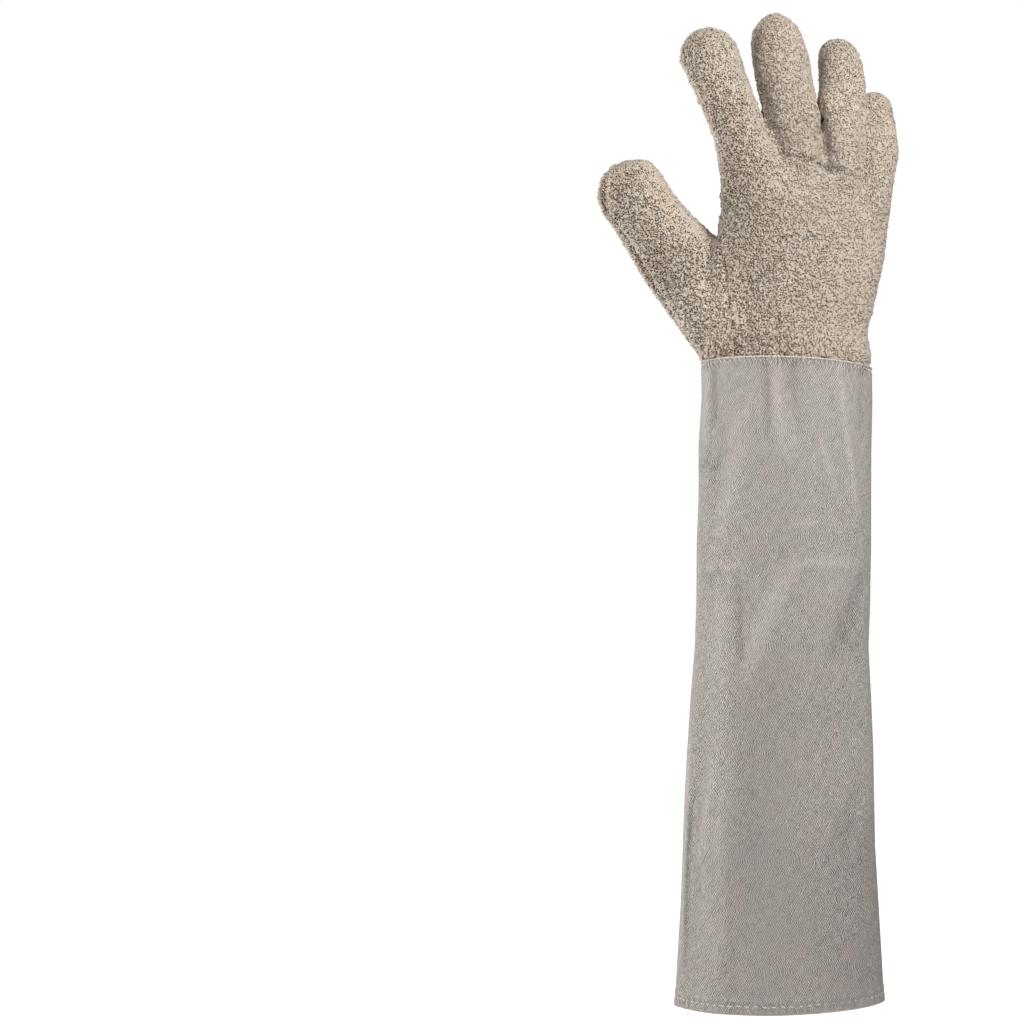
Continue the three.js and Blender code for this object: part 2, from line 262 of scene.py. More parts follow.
def noiseIn(tree, place, scale, detail=2.0, flat=False):
    return nodeIn(tree, "ShaderNodeTexNoise", {"Vector": place, "Scale": scale, "Detail": detail},
                  noise_dimensions="2D" if flat else "3D").outputs


def objectPlace(tree):
    return nodeIn(tree, "ShaderNodeTexCoord").outputs["Object"]


def attributeIn(tree, name):
    return nodeIn(tree, "ShaderNodeAttribute", attribute_name=name).outputs


def mixColours(tree, factor, first, second, blend="MIX"):
    return nodeIn(tree, "ShaderNodeMix", {0: factor, 6: first, 7: second}, data_type="RGBA",
                  blend_type=blend).outputs[2]


def toned(tree, colour, tone):  # a colour made lighter or darker
    grey = nodeIn(tree, "ShaderNodeCombineColor", {k: tone for k in range(3)})
    return mixColours(tree, 1.0, colour, grey.outputs[0], "MULTIPLY")


def bumpIn(tree, height, strength, depth, **normal):  # depth in mm
    return nodeIn(tree, "ShaderNodeBump", {
        "Height": height, "Strength": strength, "Distance": depth * mm, **normal}).outputs["Normal"]


# Soft light and dark patches, as undyed cotton has: a broad one and a fine one.
def clothMottleGroup():
    tree, given, result = makeGroup(
        "clothMottle", {"Place": None, "Broad scale": 18.0, "Fine scale": 160.0, "Strength": 0.2}, ["Tone"])
    broad = noiseIn(tree, given["Place"], given["Broad scale"], 3.0)
    fine = noiseIn(tree, given["Place"], given["Fine scale"])
    tone = chained(tree, broad["Fac"], ("ADD", fine["Fac"]), ("SUBTRACT", 1.0),
                   ("MULTIPLY", given["Strength"]), ("ADD", 1.0))
    fill(tree, result, {"Tone": tone})
    return tree


weave = {"warpPitch": 0.74, "weftPitch": 1.14, "wander": 1.6, "wanderScale": 0.24, "slubStretch": 0.16,
         "slubs": (0.67, 0.78)}


# Plain canvas weave on the piece's own map, in millimetres: warp up the cuff and weft round it. Each yarn has
# its own tone, and a few are thicker and paler.
def canvasWeaveGroup():
    tree, given, result = makeGroup(
        "canvasWeave", {"Place": None, "Warp pitch": weave["warpPitch"], "Weft pitch": weave["weftPitch"]},
        ["Crossing", "Slub", "Yarn tone"])
    split = nodeIn(tree, "ShaderNodeSeparateXYZ", {0: given["Place"]}).outputs
    wander = noiseIn(tree, given["Place"], weave["wanderScale"], 1.0, flat=True)
    nudges = nodeIn(tree, "ShaderNodeSeparateColor", {0: wander["Color"]}).outputs
    waves, yarns = [], []
    for axis, pitch in enumerate(("Warp pitch", "Weft pitch")):
        nudge = mathNode(tree, "MULTIPLY", nudges[axis], weave["wander"])
        count = chained(tree, split[axis], ("ADD", nudge), ("DIVIDE", given[pitch]))
        yarns.append(mathNode(tree, "FLOOR", count))
        waves.append(chained(tree, count, ("MULTIPLY", math.pi), ("COSINE",)))
    slubs, tones = [], []
    for k in range(2):
        stretched = mathNode(tree, "MULTIPLY", split[1 - k], weave["slubStretch"])
        place = nodeIn(tree, "ShaderNodeCombineXYZ", {0: yarns[k], 1: stretched, 2: 7.0 * k})
        streak = noiseIn(tree, place.outputs[0], 1.0, 1.0)["Fac"]
        tones.append(streak)
        slubs.append(inRange(tree, streak, weave["slubs"]))
    yarnTone = chained(tree, tones[0], ("ADD", tones[1]), ("SUBTRACT", 1.0))
    fill(tree, result, {"Crossing": mathNode(tree, "MULTIPLY", *waves),
                        "Slub": mathNode(tree, "MAXIMUM", *slubs), "Yarn tone": yarnTone})
    return tree


pucker = {"wander": 4.0, "wanderScale": 0.15}


# The cloth drawn up beside a row of stitches: ripples of this pitch, strongest at the row, gone at its reach.
def stitchPuckerGroup():
    tree, given, result = makeGroup(
        "stitchPucker", {"Place": None, "Pitch": 3.2, "Row": 0.0, "Reach": 4.0}, ["Height"])
    split = nodeIn(tree, "ShaderNodeSeparateXYZ", {0: given["Place"]}).outputs
    wander = noiseIn(tree, given["Place"], pucker["wanderScale"], flat=True)["Fac"]
    shift = mathNode(tree, "MULTIPLY", wander, pucker["wander"])
    wave = chained(tree, split["X"], ("ADD", shift), ("DIVIDE", given["Pitch"]), ("MULTIPLY", 2 * math.pi),
                   ("COSINE",))
    share = chained(tree, split["Y"], ("SUBTRACT", given["Row"]), ("ABSOLUTE",), ("DIVIDE", given["Reach"]))
    fade = mathNode(tree, "SUBTRACT", 1.0, share, clamp=True)
    fill(tree, result, {"Height": mathNode(tree, "MULTIPLY", wave, fade)})
    return tree


# Where the pile is pressed flat, towards the fingertips and the little finger: its pits are shallow, and its
# loop feet and ground are painted paler there, painted light on the side that the top lamp faces.
pressedPile = {"towards": (11.0, 0.0, 4.0), "span": (1.6, 2.6), "height": 0.52}


def paintedLightOnPressedPileGroup():
    tree, given, result = makeGroup("pressedPile", {"Place": None}, ["Share"])
    slope = vectorNode(tree, "DOT_PRODUCT", given["Place"], pressedPile["towards"])["Value"]
    fill(tree, result, {"Share": inRange(tree, slope, pressedPile["span"])})
    return tree


handPaintedLightAndShade = table("x z inner outer tone", [  # painted light where the pile is a little paler and painted shade where it is darker, in mm
    [-46, 454, 14, 34, 1.20], [-82, 514, 14, 36, 1.08], [-48, 605, 10, 22, 1.07], [42, 589, 16, 30, 1.08],
    [-30, 517, 10, 24, 0.89], [-29, 609, 4, 12, 0.88],
])


# The painted light and shade of those patches: all of it within the inner reach, and none past the outer one.
def handPaintedLightAndShadeGroup():
    tree, given, result = makeGroup("paintedHandLightAndShade", {"Place": None}, ["Tone"])
    level = vectorNode(tree, "MULTIPLY", given["Place"], (1, 0, 1))["Vector"]
    tone = 1.0
    for row in handPaintedLightAndShade:
        middle = (row["x"] * mm, 0, row["z"] * mm)
        away = vectorNode(tree, "DISTANCE", level, middle)["Value"]
        share = inRange(tree, away, (row["inner"] * mm, row["outer"] * mm), (row["tone"], 1.0),
                        interpolation_type="SMOOTHSTEP")
        tone = mathNode(tree, "MULTIPLY", share, tone)
    fill(tree, result, {"Tone": tone})
    return tree


paintedLightOnPressedPile = paintedLightOnPressedPileGroup()
paintedHandLightAndShade = handPaintedLightAndShadeGroup()
clothMottle = clothMottleGroup()
canvasWeave = canvasWeaveGroup()
stitchPucker = stitchPuckerGroup()


def mottleIn(tree, place, finish):
    return placeGroup(tree, clothMottle, Place=place, Broad_scale=finish["broadScale"],
                      Fine_scale=finish["fineScale"], Strength=finish["mottle"])["Tone"]


def newMaterial(name):
    material = bpy.data.materials.new(name)
    material.use_nodes = True
    return material, material.node_tree, material.node_tree.nodes["Principled BSDF"]


terryFinish = {
    # the loop feet and the ground cloth are painted darker than the loop tops: painted shade between the
    # loops
    "loopTop": (0.566, 0.488, 0.402, 1), "loopFoot": (0.435, 0.348, 0.266, 1),
    # painted light: where the pile is pressed, the feet and ground are painted paler and the tops a little
    # darker
    "pressedTop": (0.520, 0.450, 0.374, 1), "pressedFoot": (0.49, 0.405, 0.318, 1),
    "ground": (0.33, 0.258, 0.186, 1), "pressedGround": (0.44, 0.36, 0.275, 1),
    "footToTop": (0.32, 0.72), "ownTones": (0.92, 1.08),
    "blush": (1.0, 0.955, 0.925, 1), "blushScale": 36.0, "blushSpan": (0.42, 0.62),
    "mottle": 0.20, "broadScale": 26.0, "fineScale": 420.0, "fibreScale": 2600.0, "fibreDepth": 0.2,
    "roughness": 0.95, "sheen": 0.2, "softness": 0.68,
}


def loopMaterial():
    material, tree, shader = newMaterial("terryLoopYarn")
    place = objectPlace(tree)
    # painted light on the pressed side: paler loop feet and slightly darker tops
    pressed = placeGroup(tree, paintedLightOnPressedPile, Place=place)["Share"]
    foot, top = (mixColours(tree, pressed, terryFinish["loop" + end], terryFinish["pressed" + end])
                 for end in ("Foot", "Top"))
    # painted shade: each loop is darker towards its foot, where the loops crowd together
    alongLoop = attributeIn(tree, "alongLoop")["Fac"]
    rise = inRange(tree, alongLoop, terryFinish["footToTop"])
    colour = mixColours(tree, rise, foot, top)
    # a warmer tint in places
    patches = noiseIn(tree, place, terryFinish["blushScale"], 1.0)["Fac"]
    share = inRange(tree, patches, terryFinish["blushSpan"])
    blushed = mixColours(tree, 1.0, colour, terryFinish["blush"], "MULTIPLY")
    colour = mixColours(tree, share, colour, blushed)
    # each loop's own tone, the mottle of the yarn and the hand's patches of painted light and shade
    own = inRange(tree, attributeIn(tree, "loopTone")["Fac"], (0.0, 1.0), terryFinish["ownTones"])
    mottle = mottleIn(tree, place, terryFinish)
    paintedLightAndShade = placeGroup(tree, paintedHandLightAndShade, Place=place)["Tone"]
    tone = chained(tree, own, ("MULTIPLY", mottle), ("MULTIPLY", paintedLightAndShade))
    # light spreads through the soft loops, so each is shaded in part like the cloth under it
    facing = nodeIn(tree, "ShaderNodeNewGeometry").outputs["Normal"]
    under = attributeIn(tree, "clothNormal")["Vector"]
    blend = nodeIn(tree, "ShaderNodeMix", {0: terryFinish["softness"], 4: facing, 5: under},
                   data_type="VECTOR").outputs[1]
    even = vectorNode(tree, "NORMALIZE", blend)["Vector"]
    fibres = noiseIn(tree, place, terryFinish["fibreScale"])["Fac"]
    fill(tree, shader, {
        "Base Color": toned(tree, colour, tone),
        "Normal": bumpIn(tree, fibres, 0.5, terryFinish["fibreDepth"], Normal=even),
        "Roughness": terryFinish["roughness"], "Specular IOR Level": 0.15,
        "Sheen Weight": terryFinish["sheen"], "Sheen Roughness": 0.6})
    return material


groundFinish = {"mottle": 0.5, "broadScale": 40.0, "fineScale": 600.0, "knitScale": 560.0, "knitDepth": 0.6,
                "roughness": 0.97}


def groundMaterial():
    material, tree, shader = newMaterial("terryGroundCloth")
    place = objectPlace(tree)
    mottle = mottleIn(tree, place, groundFinish)
    # the hand's patches of painted light and shade
    paintedLightAndShade = placeGroup(tree, paintedHandLightAndShade, Place=place)["Tone"]
    tone = mathNode(tree, "MULTIPLY", mottle, paintedLightAndShade)
    # painted light: the ground is painted paler where the pile is pressed
    pressed = placeGroup(tree, paintedLightOnPressedPile, Place=place)["Share"]
    # painted shade: the ground is painted darker than the loops, between them
    cloth = mixColours(tree, pressed, terryFinish["ground"], terryFinish["pressedGround"])
    knit = nodeIn(tree, "ShaderNodeTexVoronoi", {"Vector": place, "Scale": groundFinish["knitScale"]})
    fill(tree, shader, {
        "Base Color": toned(tree, cloth, tone),
        "Normal": bumpIn(tree, knit.outputs["Distance"], 0.8, groundFinish["knitDepth"]),
        "Roughness": groundFinish["roughness"], "Specular IOR Level": 0.1})
    return material


wristEdge = 420.6  # height of the cuff's folded top edge over the hem, in mm
canvasFinish = {
    "slub": (0.62, 0.58, 0.53, 1), "slubShare": 0.45, "warm": (0.386, 0.343, 0.315, 1),
    "cool": (0.370, 0.349, 0.316, 1), "hueScale": 45.0, "hueSpan": (0.4, 0.6),
    "edge": (0.78, 0.73, 0.67, 1), "edgeWide": 0.8, "edgeShare": 0.8,
    "weave": 0.8, "yarns": 0.75, "grain": 1.5, "folds": 0.19, "mottle": 0.12, "broadScale": 14.0,
    "fineScale": 120.0, "roughness": 0.9, "sheen": 0.15, "weaveDepth": 0.18, "puckerDepth": 0.6,
    "puckers": table("Pitch Row Reach", [[3.2, 417.6, 4.5], [4.6, 5.6, 5.0]]),  # in mm
}


def canvasMaterial():
    material, tree, shader = newMaterial("cuffCanvas")
    own = nodeIn(tree, "ShaderNodeUVMap", uv_map="clothPlace").outputs[0]
    scaled = nodeIn(tree, "ShaderNodeVectorMath", {0: own, "Scale": 1 / mm}, operation="SCALE")
    inMillimetres = scaled.outputs[0]
    yarns = placeGroup(tree, canvasWeave, Place=inMillimetres)
    place = objectPlace(tree)
    mottle = mottleIn(tree, place, canvasFinish)
    specks = noiseIn(tree, inMillimetres, 1.0, 1.0, flat=True)["Fac"]
    grain = mathNode(tree, "SUBTRACT", specks, 0.5)
    # painted light on the folds' ridges and painted shade in their hollows and grooves
    folds = attributeIn(tree, "foldPaintedLightAndShade")["Fac"]
    sources = {"weave": yarns["Crossing"], "yarns": yarns["Yarn tone"], "grain": grain, "folds": folds}
    parts = [mathNode(tree, "MULTIPLY", source, canvasFinish[name]) for name, source in sources.items()]
    tone = chained(tree, parts[0], *[("ADD", part) for part in (*parts[1:], 1.0)], ("MULTIPLY", mottle))
    patches = noiseIn(tree, place, canvasFinish["hueScale"])["Fac"]
    hue = inRange(tree, patches, canvasFinish["hueSpan"])
    cloth = mixColours(tree, hue, canvasFinish["cool"], canvasFinish["warm"])
    thick = mathNode(tree, "MULTIPLY", yarns["Slub"], canvasFinish["slubShare"])
    slubbed = mixColours(tree, thick, toned(tree, cloth, tone), canvasFinish["slub"])
    # a painted highlight, pale along the hem and the top edge
    height = nodeIn(tree, "ShaderNodeSeparateXYZ", {0: inMillimetres}).outputs["Y"]
    wide = canvasFinish["edgeWide"]
    edges = [inRange(tree, height, span, (0.0, canvasFinish["edgeShare"]))
             for span in ((wide, 0.0), (wristEdge - wide, wristEdge))]
    paintedEdgeHighlight = mathNode(tree, "MAXIMUM", *edges)
    ripples = [placeGroup(tree, stitchPucker, Place=inMillimetres, **row)["Height"]
               for row in canvasFinish["puckers"]]
    bothRows = mathNode(tree, "ADD", *ripples)
    drawnUp = bumpIn(tree, bothRows, 1.0, canvasFinish["puckerDepth"])
    raised = mathNode(tree, "ADD", yarns["Crossing"], yarns["Slub"])
    fill(tree, shader, {
        "Base Color": mixColours(tree, paintedEdgeHighlight, slubbed, canvasFinish["edge"]),
        "Normal": bumpIn(tree, raised, 0.9, canvasFinish["weaveDepth"], Normal=drawnUp),
        "Roughness": canvasFinish["roughness"], "Specular IOR Level": 0.2,
        "Sheen Weight": canvasFinish["sheen"], "Sheen Roughness": 0.5})
    return material


threadFinish = {"colour": (0.86, 0.81, 0.77, 1), "mottle": 0.4, "broadScale": 300.0, "fineScale": 1500.0}


def threadMaterial():
    material, tree, shader = newMaterial("stitchThread")
    mottle = mottleIn(tree, objectPlace(tree), threadFinish)
    fill(tree, shader, {"Base Color": toned(tree, threadFinish["colour"], mottle), "Roughness": 0.8,
                        "Specular IOR Level": 0.25})
    return material


loopYarn = loopMaterial()
groundCloth = groundMaterial()
cuffCanvas = canvasMaterial()
stitchThread = threadMaterial()
print("materials ready")


# camera, soft studio light and a pale floor

cameraView = {"side": -0.1761, "away": 1.7, "height": 0.322, "lens": 91.1}
bpy.ops.object.camera_add(location=(cameraView["side"], -cameraView["away"], cameraView["height"]),
                          rotation=(math.pi / 2, 0, 0))
bpy.context.scene.camera = bpy.context.object
bpy.context.object.data.lens = cameraView["lens"]
bpy.context.object.data.sensor_width = 36
bpy.context.scene.view_settings.view_transform = "Standard"

studio = {
    "skyLight": 0.17, "floorHeight": -0.05, "floorRadius": 6.0, "floorTone": 0.35, "lampSize": 0.5,
    "aim": (0, 0, 0.33),
    "lamps": [  # name, place, power in watts
        ("topLamp", (0.66, -0.9, 1.05), 15.2), ("leftLamp", (-1.8, 0.24, 0.4), 29.5),
        ("frontLamp", (-0.6, -1.85, 1.0), 14),
    ],
}


def makeStudio():
    world = bpy.data.worlds.new("studioSky")
    bpy.context.scene.world = world
    world.use_nodes = True
    tree = world.node_tree
    ray = nodeIn(tree, "ShaderNodeLightPath").outputs["Is Camera Ray"]
    strength = inRange(tree, ray, (0.0, 1.0), (studio["skyLight"], 1.0))
    fill(tree, tree.nodes["Background"], {"Color": (1, 1, 1, 1), "Strength": strength})
    for name, place, power in studio["lamps"]:
        bpy.ops.object.light_add(type="AREA", location=place)
        lamp = bpy.context.object
        lamp.name = name
        lamp.data.energy = power
        lamp.data.size = studio["lampSize"]
        lamp.rotation_euler = (Vector(studio["aim"]) - Vector(place)).to_track_quat("-Z", "Y").to_euler()
    bpy.ops.mesh.primitive_circle_add(vertices=96, radius=studio["floorRadius"], fill_type="NGON",
                                      location=(0, 0, studio["floorHeight"]))
    floor = bpy.context.object
    floor.name = "studioFloor"
    material, tree, shader = newMaterial("paleFloor")
    ray = nodeIn(tree, "ShaderNodeLightPath").outputs["Is Camera Ray"]
    fill(tree, shader, {"Base Color": (studio["floorTone"],) * 3 + (1,), "Roughness": 0.9,
                        "Emission Color": (1, 1, 1, 1), "Emission Strength": ray})
    floor.data.materials.append(material)


makeStudio()
print("camera and studio ready")


# the terry hand: a smooth ground cloth for each panel

terryPanels = {
    "palm_panel": {"name": "terryPalm", "slot": "terry_palm", "flat": (0.205, 0.245), "area": 0.040},
    "back_panel": {"name": "terryBack", "slot": "terry_back", "flat": (0.150, 0.240), "area": 0.0256},
    "middle_ring_panel": {"name": "terryMiddleRing", "slot": "terry_back", "flat": (0.085, 0.112),
                          "area": 0.0089},
    "thumb_panel": {"name": "terryThumb", "slot": "terry_back", "flat": (0.085, 0.145), "area": 0.0074},
}
ground = {  # in mm
    "handVoxel": 1.6, "panelVoxel": 2.2, "middleRingVoxel": 1.5, "smoothing": 14, "snapReach": 1.2,
    "outReach": 6.0, "inset": 1.15, "swell": 0.6, "swellWave": 12.0, "tuckedIn": 7.0, "rimReach": 2.6,
    "rimNear": 0.9, "rimGap": 0.25, "below": 0.25, "lookFrom": 1.6, "seamReach": 20, "innerSpan": (4, 9),
}
seams = {"groove": 0.5, "grooveWide": 1.5, "ridge": 0.2, "ridgeAt": 4.5, "ridgeWide": 2.2,
         "furrowFacing": (0.1, 0.7)}
wristSeam = {"height": wristEdge, "slopeX": -0.038, "slopeY": -0.095}
wristFill = {"x": 2, "z": 425, "wideX": 24, "wideZ": 10, "push": 3.0}  # the palm side fills the cuff's edge
fulness = table("x z reach pushX pushZ", [  # small swellings and hollows of the outline, in mm
    [-41, 516, 13, 2.6, 0], [-62, 526, 12, -1.0, 0], [-66, 618, 9, -1.6, 0], [57, 612, 12, 1.6, 0],
    [-3, 652, 10, 0, 2.2], [21, 622, 9, 1.0, 0], [15, 591, 10, 5.8, 0], [33, 591, 10, -5.4, 0],
    [-50, 421, 6, -2.6, 0], [59, 421, 8, 0.8, 0], [-86, 552, 8, 1.0, 2.0], [77, 562, 15, 1.5, 0],
    [-41, 501, 6, 1.2, 1.8], [31, 578, 6, -2.0, 0], [-26, 588, 7, 4.0, 0], [20, 580, 7, 4.0, 0],
])
handFurrows = table("height wide startX startZ midX midZ endX endZ", [  # on the back of the hand
    [-1.4, 2.6, -18.0, 592, -8.0, 570, 3.0, 553],
    [-3.2, 4.0, -16.0, 612, -11.5, 582, 1.0, 561],
    [-2.6, 2.8, 24.0, 606, 26.5, 576, 30.0, 548],
    [-1.5, 2.2, 26.5, 590, 28.3, 570, 31.0, 550],
    [-1.4, 2.0, 56.5, 600, 55.0, 570, 53.0, 540],
    [-0.9, 2.2, 8.0, 553, 26.0, 548, 46.0, 541],
    [-2.0, 1.5, -107.0, 512, -86.5, 478, -61.0, 436],
    [-1.7, 1.5, -112.5, 547, -114.5, 532, -112.0, 517],
    [-1.7, 1.7, -38.5, 497, -37.0, 468, -34.0, 424],
    [0.4, 2.4, -33.5, 486, -31.5, 460, -28.5, 428],
    [1.8, 3.4, -43.0, 508, -42.8, 490, -42.0, 466],
    [-0.9, 1.8, -25.0, 446, -24.0, 434, -23.0, 420],
    [0.5, 2.0, -20.0, 462, -18.0, 442, -16.0, 422],
    [-0.8, 2.2, -8.0, 456, -7.0, 440, -6.0, 422],
    [0.7, 2.2, 6.0, 450, 6.0, 436, 7.0, 422],
])
furrowCurves = [creaseCurve(row) for row in handFurrows]


def furrowAt(place, normal):  # their depth there, in mm
    if normal.y >= 0:
        return 0.0
    return creasesAt(furrowCurves, place.x / mm, place.z / mm) * smoothStep(-normal.y, *seams["furrowFacing"])


def wristLevel(x, y):  # the height of the wrist seam there, in mm
    return wristSeam["height"] + wristSeam["slopeX"] * x + wristSeam["slopeY"] * y


def mergedCopy(nodeName, name):
    piece = newPiece(name, frame["nodes"][nodeName].data.copy())
    edited(piece, mergeDoubles)
    return piece


def filledOut(place):  # a point of the hand moved by the small swellings of its outline
    x, z = place.x / mm, place.z / mm
    moved = place.copy()
    for row in fulness:
        near = math.exp(-((x - row["x"]) ** 2 + (z - row["z"]) ** 2) / row["reach"] ** 2)
        moved.x += row["pushX"] * near * mm
        moved.z += row["pushZ"] * near * mm
    if place.y > 0:
        near = bell((x - wristFill["x"]) / wristFill["wideX"], (z - wristFill["z"]) / wristFill["wideZ"])
        moved.y += wristFill["push"] * near * mm
    return moved


def treeOf(piece):
    mesh = piece.data
    return BVHTree.FromPolygons([v.co for v in mesh.vertices], [p.vertices for p in mesh.polygons])


def smoothHand(copies):  # all panels as one closed hand, with the facets smoothed away
    hand = joined(copies, "smoothHand")
    applied(hand, "REMESH", mode="VOXEL", voxel_size=ground["handVoxel"] * mm)
    applied(hand, "SMOOTH", factor=0.5, iterations=ground["smoothing"])
    waves = rippleWaves(5)
    normals = [vertex.normal.copy() for vertex in hand.data.vertices]
    for vertex, normal in zip(hand.data.vertices, normals):  # gentle swells of the thick cloth
        swell = rippled(vertex.co / mm / ground["swellWave"], waves)
        vertex.co = filledOut(vertex.co + normal * ground["swell"] * mm * swell)
    return hand


openAir = {"level": 12, "raised": 6, "turn": 0.4, "rise": 0.7, "facing": -0.05}


def waysOut():  # directions to look for open air in, level and upwards
    turns = [2 * math.pi * k / openAir["level"] for k in range(openAir["level"])]
    level = [Vector((math.cos(turn), math.sin(turn), 0)) for turn in turns]
    turns = [2 * math.pi * k / openAir["raised"] + openAir["turn"] for k in range(openAir["raised"])]
    raised = [Vector((math.cos(turn), math.sin(turn), openAir["rise"])).normalized() for turn in turns]
    return level + raised + [Vector((0, 0, 1))]


def openFaces(mesh, tree):  # for each face, whether some way out from it meets nothing
    ways = waysOut()
    found = []
    for face in mesh.polygons:
        start = face.center + face.normal * ground["lookFrom"] * mm
        outward = [way for way in ways if face.normal.dot(way) > openAir["facing"]]
        found.append(any(tree.ray_cast(start, way)[0] is None for way in outward))
    return found


def pileBed(hand, handTree, panelTrees):  # presses the seams in; returns how far each face of the hand moved
    mesh = hand.data
    isOpen = openFaces(mesh, handTree)
    onOutside = [False] * len(mesh.vertices)
    for face, out in zip(mesh.polygons, isOpen):
        if out:
            for v in face.vertices:
                onOutside[v] = True
    nearest, nearSeam = [0] * len(mesh.vertices), [0.0] * len(mesh.vertices)
    moves = [Vector() for _ in mesh.vertices]
    normals = [vertex.normal.copy() for vertex in mesh.vertices]
    reach = ground["seamReach"] * mm
    outer = KDTree(sum(onOutside))
    for index, (vertex, normal) in enumerate(zip(mesh.vertices, normals)):
        if not onOutside[index]:
            continue
        outer.insert(vertex.co, index)
        gaps = [tree.find_nearest(vertex.co, reach)[3] or reach for tree in panelTrees]
        nearest[index] = gaps.index(min(gaps))
        first, second = sorted(gaps)[:2]
        fromSeam = (second - first) / mm
        nearSeam[index] = bell(fromSeam / seams["grooveWide"])
        ridge = bell((fromSeam - seams["ridgeAt"]) / seams["ridgeWide"])
        rise = seams["ridge"] * ridge - seams["groove"] * nearSeam[index] - ground["inset"]
        rise += furrowAt(vertex.co, normal)
        moves[index] = normal * rise * mm
    # the inner face follows the outer one, so the cloth stays as thick as it is
    outer.balance()
    for index, vertex in enumerate(mesh.vertices):
        if not onOutside[index]:
            _, across, distance = outer.find(vertex.co)
            moves[index] = moves[across] * (1 - smoothStep(distance / mm, *ground["innerSpan"]))
    for vertex, move in zip(mesh.vertices, moves):
        vertex.co += move
    attributeOn(mesh, "nearSeam", nearSeam)
    panels = []
    for face in mesh.polygons:
        x, y, z = (value / mm for value in face.center)
        bare = z < wristLevel(x, y) - ground["tuckedIn"] or not all(onOutside[v] for v in face.vertices)
        panels.append(-1.0 if bare else float(nearest[face.vertices[0]]))
    attributeOn(mesh, "panel", panels, "FACE")
    mesh.update()
    return [sum((moves[v] for v in face.vertices), Vector()) / len(face.vertices) for face in mesh.polygons]


def closedUp(place, otherTrees):  # a point near another panel's rim, drawn up to it
    for tree in otherTrees:
        found, _, _, distance = tree.find_nearest(place, ground["rimReach"] * mm)
        if found is not None and distance > ground["rimGap"] * mm:
            near = 1 - smoothStep(distance / mm, ground["rimNear"], ground["rimReach"])
            return place.lerp(found, near * (1 - ground["rimGap"] * mm / distance))
    return place


def groundPanel(nodeName, handTree, faceMoves, bedTree, otherTrees):  # the panel's own cloth, under the loops
    piece = mergedCopy(nodeName, terryPanels[nodeName]["name"])
    voxel = ground["middleRingVoxel" if nodeName == "middle_ring_panel" else "panelVoxel"]
    applied(piece, "REMESH", mode="VOXEL", voxel_size=voxel * mm)
    mesh = piece.data
    moves = [Vector() for _ in mesh.vertices]
    for vertex in mesh.vertices:
        vertex.co = filledOut(vertex.co)
        found, outward, face, distance = handTree.find_nearest(vertex.co)
        standsOut = (vertex.co - found).dot(outward) > 0 and distance < ground["outReach"] * mm
        if standsOut or distance < ground["snapReach"] * mm:
            vertex.co = found
            moves[vertex.index] = faceMoves[face] + faceMoves[face].normalized() * ground["below"] * mm
    applied(piece, "SMOOTH", factor=0.4, iterations=2)
    for vertex, move in zip(piece.data.vertices, moves):
        vertex.co = closedUp(vertex.co, otherTrees) + move
        found, outward, _, distance = bedTree.find_nearest(vertex.co)
        if (vertex.co - found).dot(outward) > -ground["below"] * mm and distance < ground["outReach"] * mm:
            vertex.co = found - outward * ground["below"] * mm
    piece.data.update()
    return finished(piece, groundCloth)


panelCopies = [mergedCopy(node, "handCopy") for node in terryPanels]
panelTrees = [treeOf(piece) for piece in panelCopies]
bed = smoothHand(panelCopies)
handTree = treeOf(bed)
faceMoves = pileBed(bed, handTree, panelTrees)
bedTree = treeOf(bed)
groundPieces = {}
for index, node in enumerate(terryPanels):
    otherTrees = panelTrees[:index] + panelTrees[index + 1:]
    groundPieces[node] = groundPanel(node, handTree, faceMoves, bedTree, otherTrees)
print("ground cloth ready:", {p.name: len(p.data.polygons) for p in groundPieces.values()})


# the pile: short curled loops of yarn, a few shapes of loop spread over the ground cloth

loopShapes = table("width height curl lean twist", [
    [1.1, 1.35, 0.4, 0.2, 0.1],
    [1.2, 1.10, -0.4, -0.2, 0.2],
    [0.9, 1.50, 0.5, 0.3, -0.1],
    [1.1, 1.20, -0.3, 0.4, -0.2],
    [1.0, 1.45, 0.2, -0.4, 0.2],
    [1.4, 1.00, 0.5, 0.0, -0.3],
])
pile = {"yarn": 0.84, "segments": 3, "sunk": 0.8, "spacing": 1.24, "density": 2500000, "seed": 11,
        "turn": 1.15, "slant": 0.35, "tilt": 0.24, "least": 0.84, "most": 1.18, "atSeam": 0.2,
        "rootHeight": 0.38, "clumpScale": 430, "clumps": 2.2, "clumpLeast": 0.65, "clumpMost": 1.45,
        "roundness": 0.8, "cornerTurn": 0.5, "sideways": (0, 1, 0.2)}
pileParts = [  # node, name, height band in mm
    ("palm_panel", "pilePalmLow", 400, 464), ("palm_panel", "pilePalmMiddle", 464, 520),
    ("palm_panel", "pilePalmFingers", 520, 700), ("back_panel", "pileBackLow", 400, 500),
    ("back_panel", "pileBackHigh", 500, 700), ("middle_ring_panel", "pileMiddleRing", 400, 700),
    ("thumb_panel", "pileThumb", 400, 700),
]


def loopPath(shape):  # the middle line of one curled arch of yarn, in mm
    path = []
    for k in range(pile["segments"] + 1):
        t = k / pile["segments"]
        arch = math.sin(math.pi * t)
        path.append(Vector((
            -shape["width"] / 2 * math.cos(math.pi * t) + shape["twist"] * math.sin(3 * math.pi * t),
            shape["curl"] * math.sin(2 * math.pi * t) + shape["lean"] * arch,
            -pile["sunk"] + (shape["height"] + pile["sunk"]) * arch ** pile["roundness"],
        )))
    return path


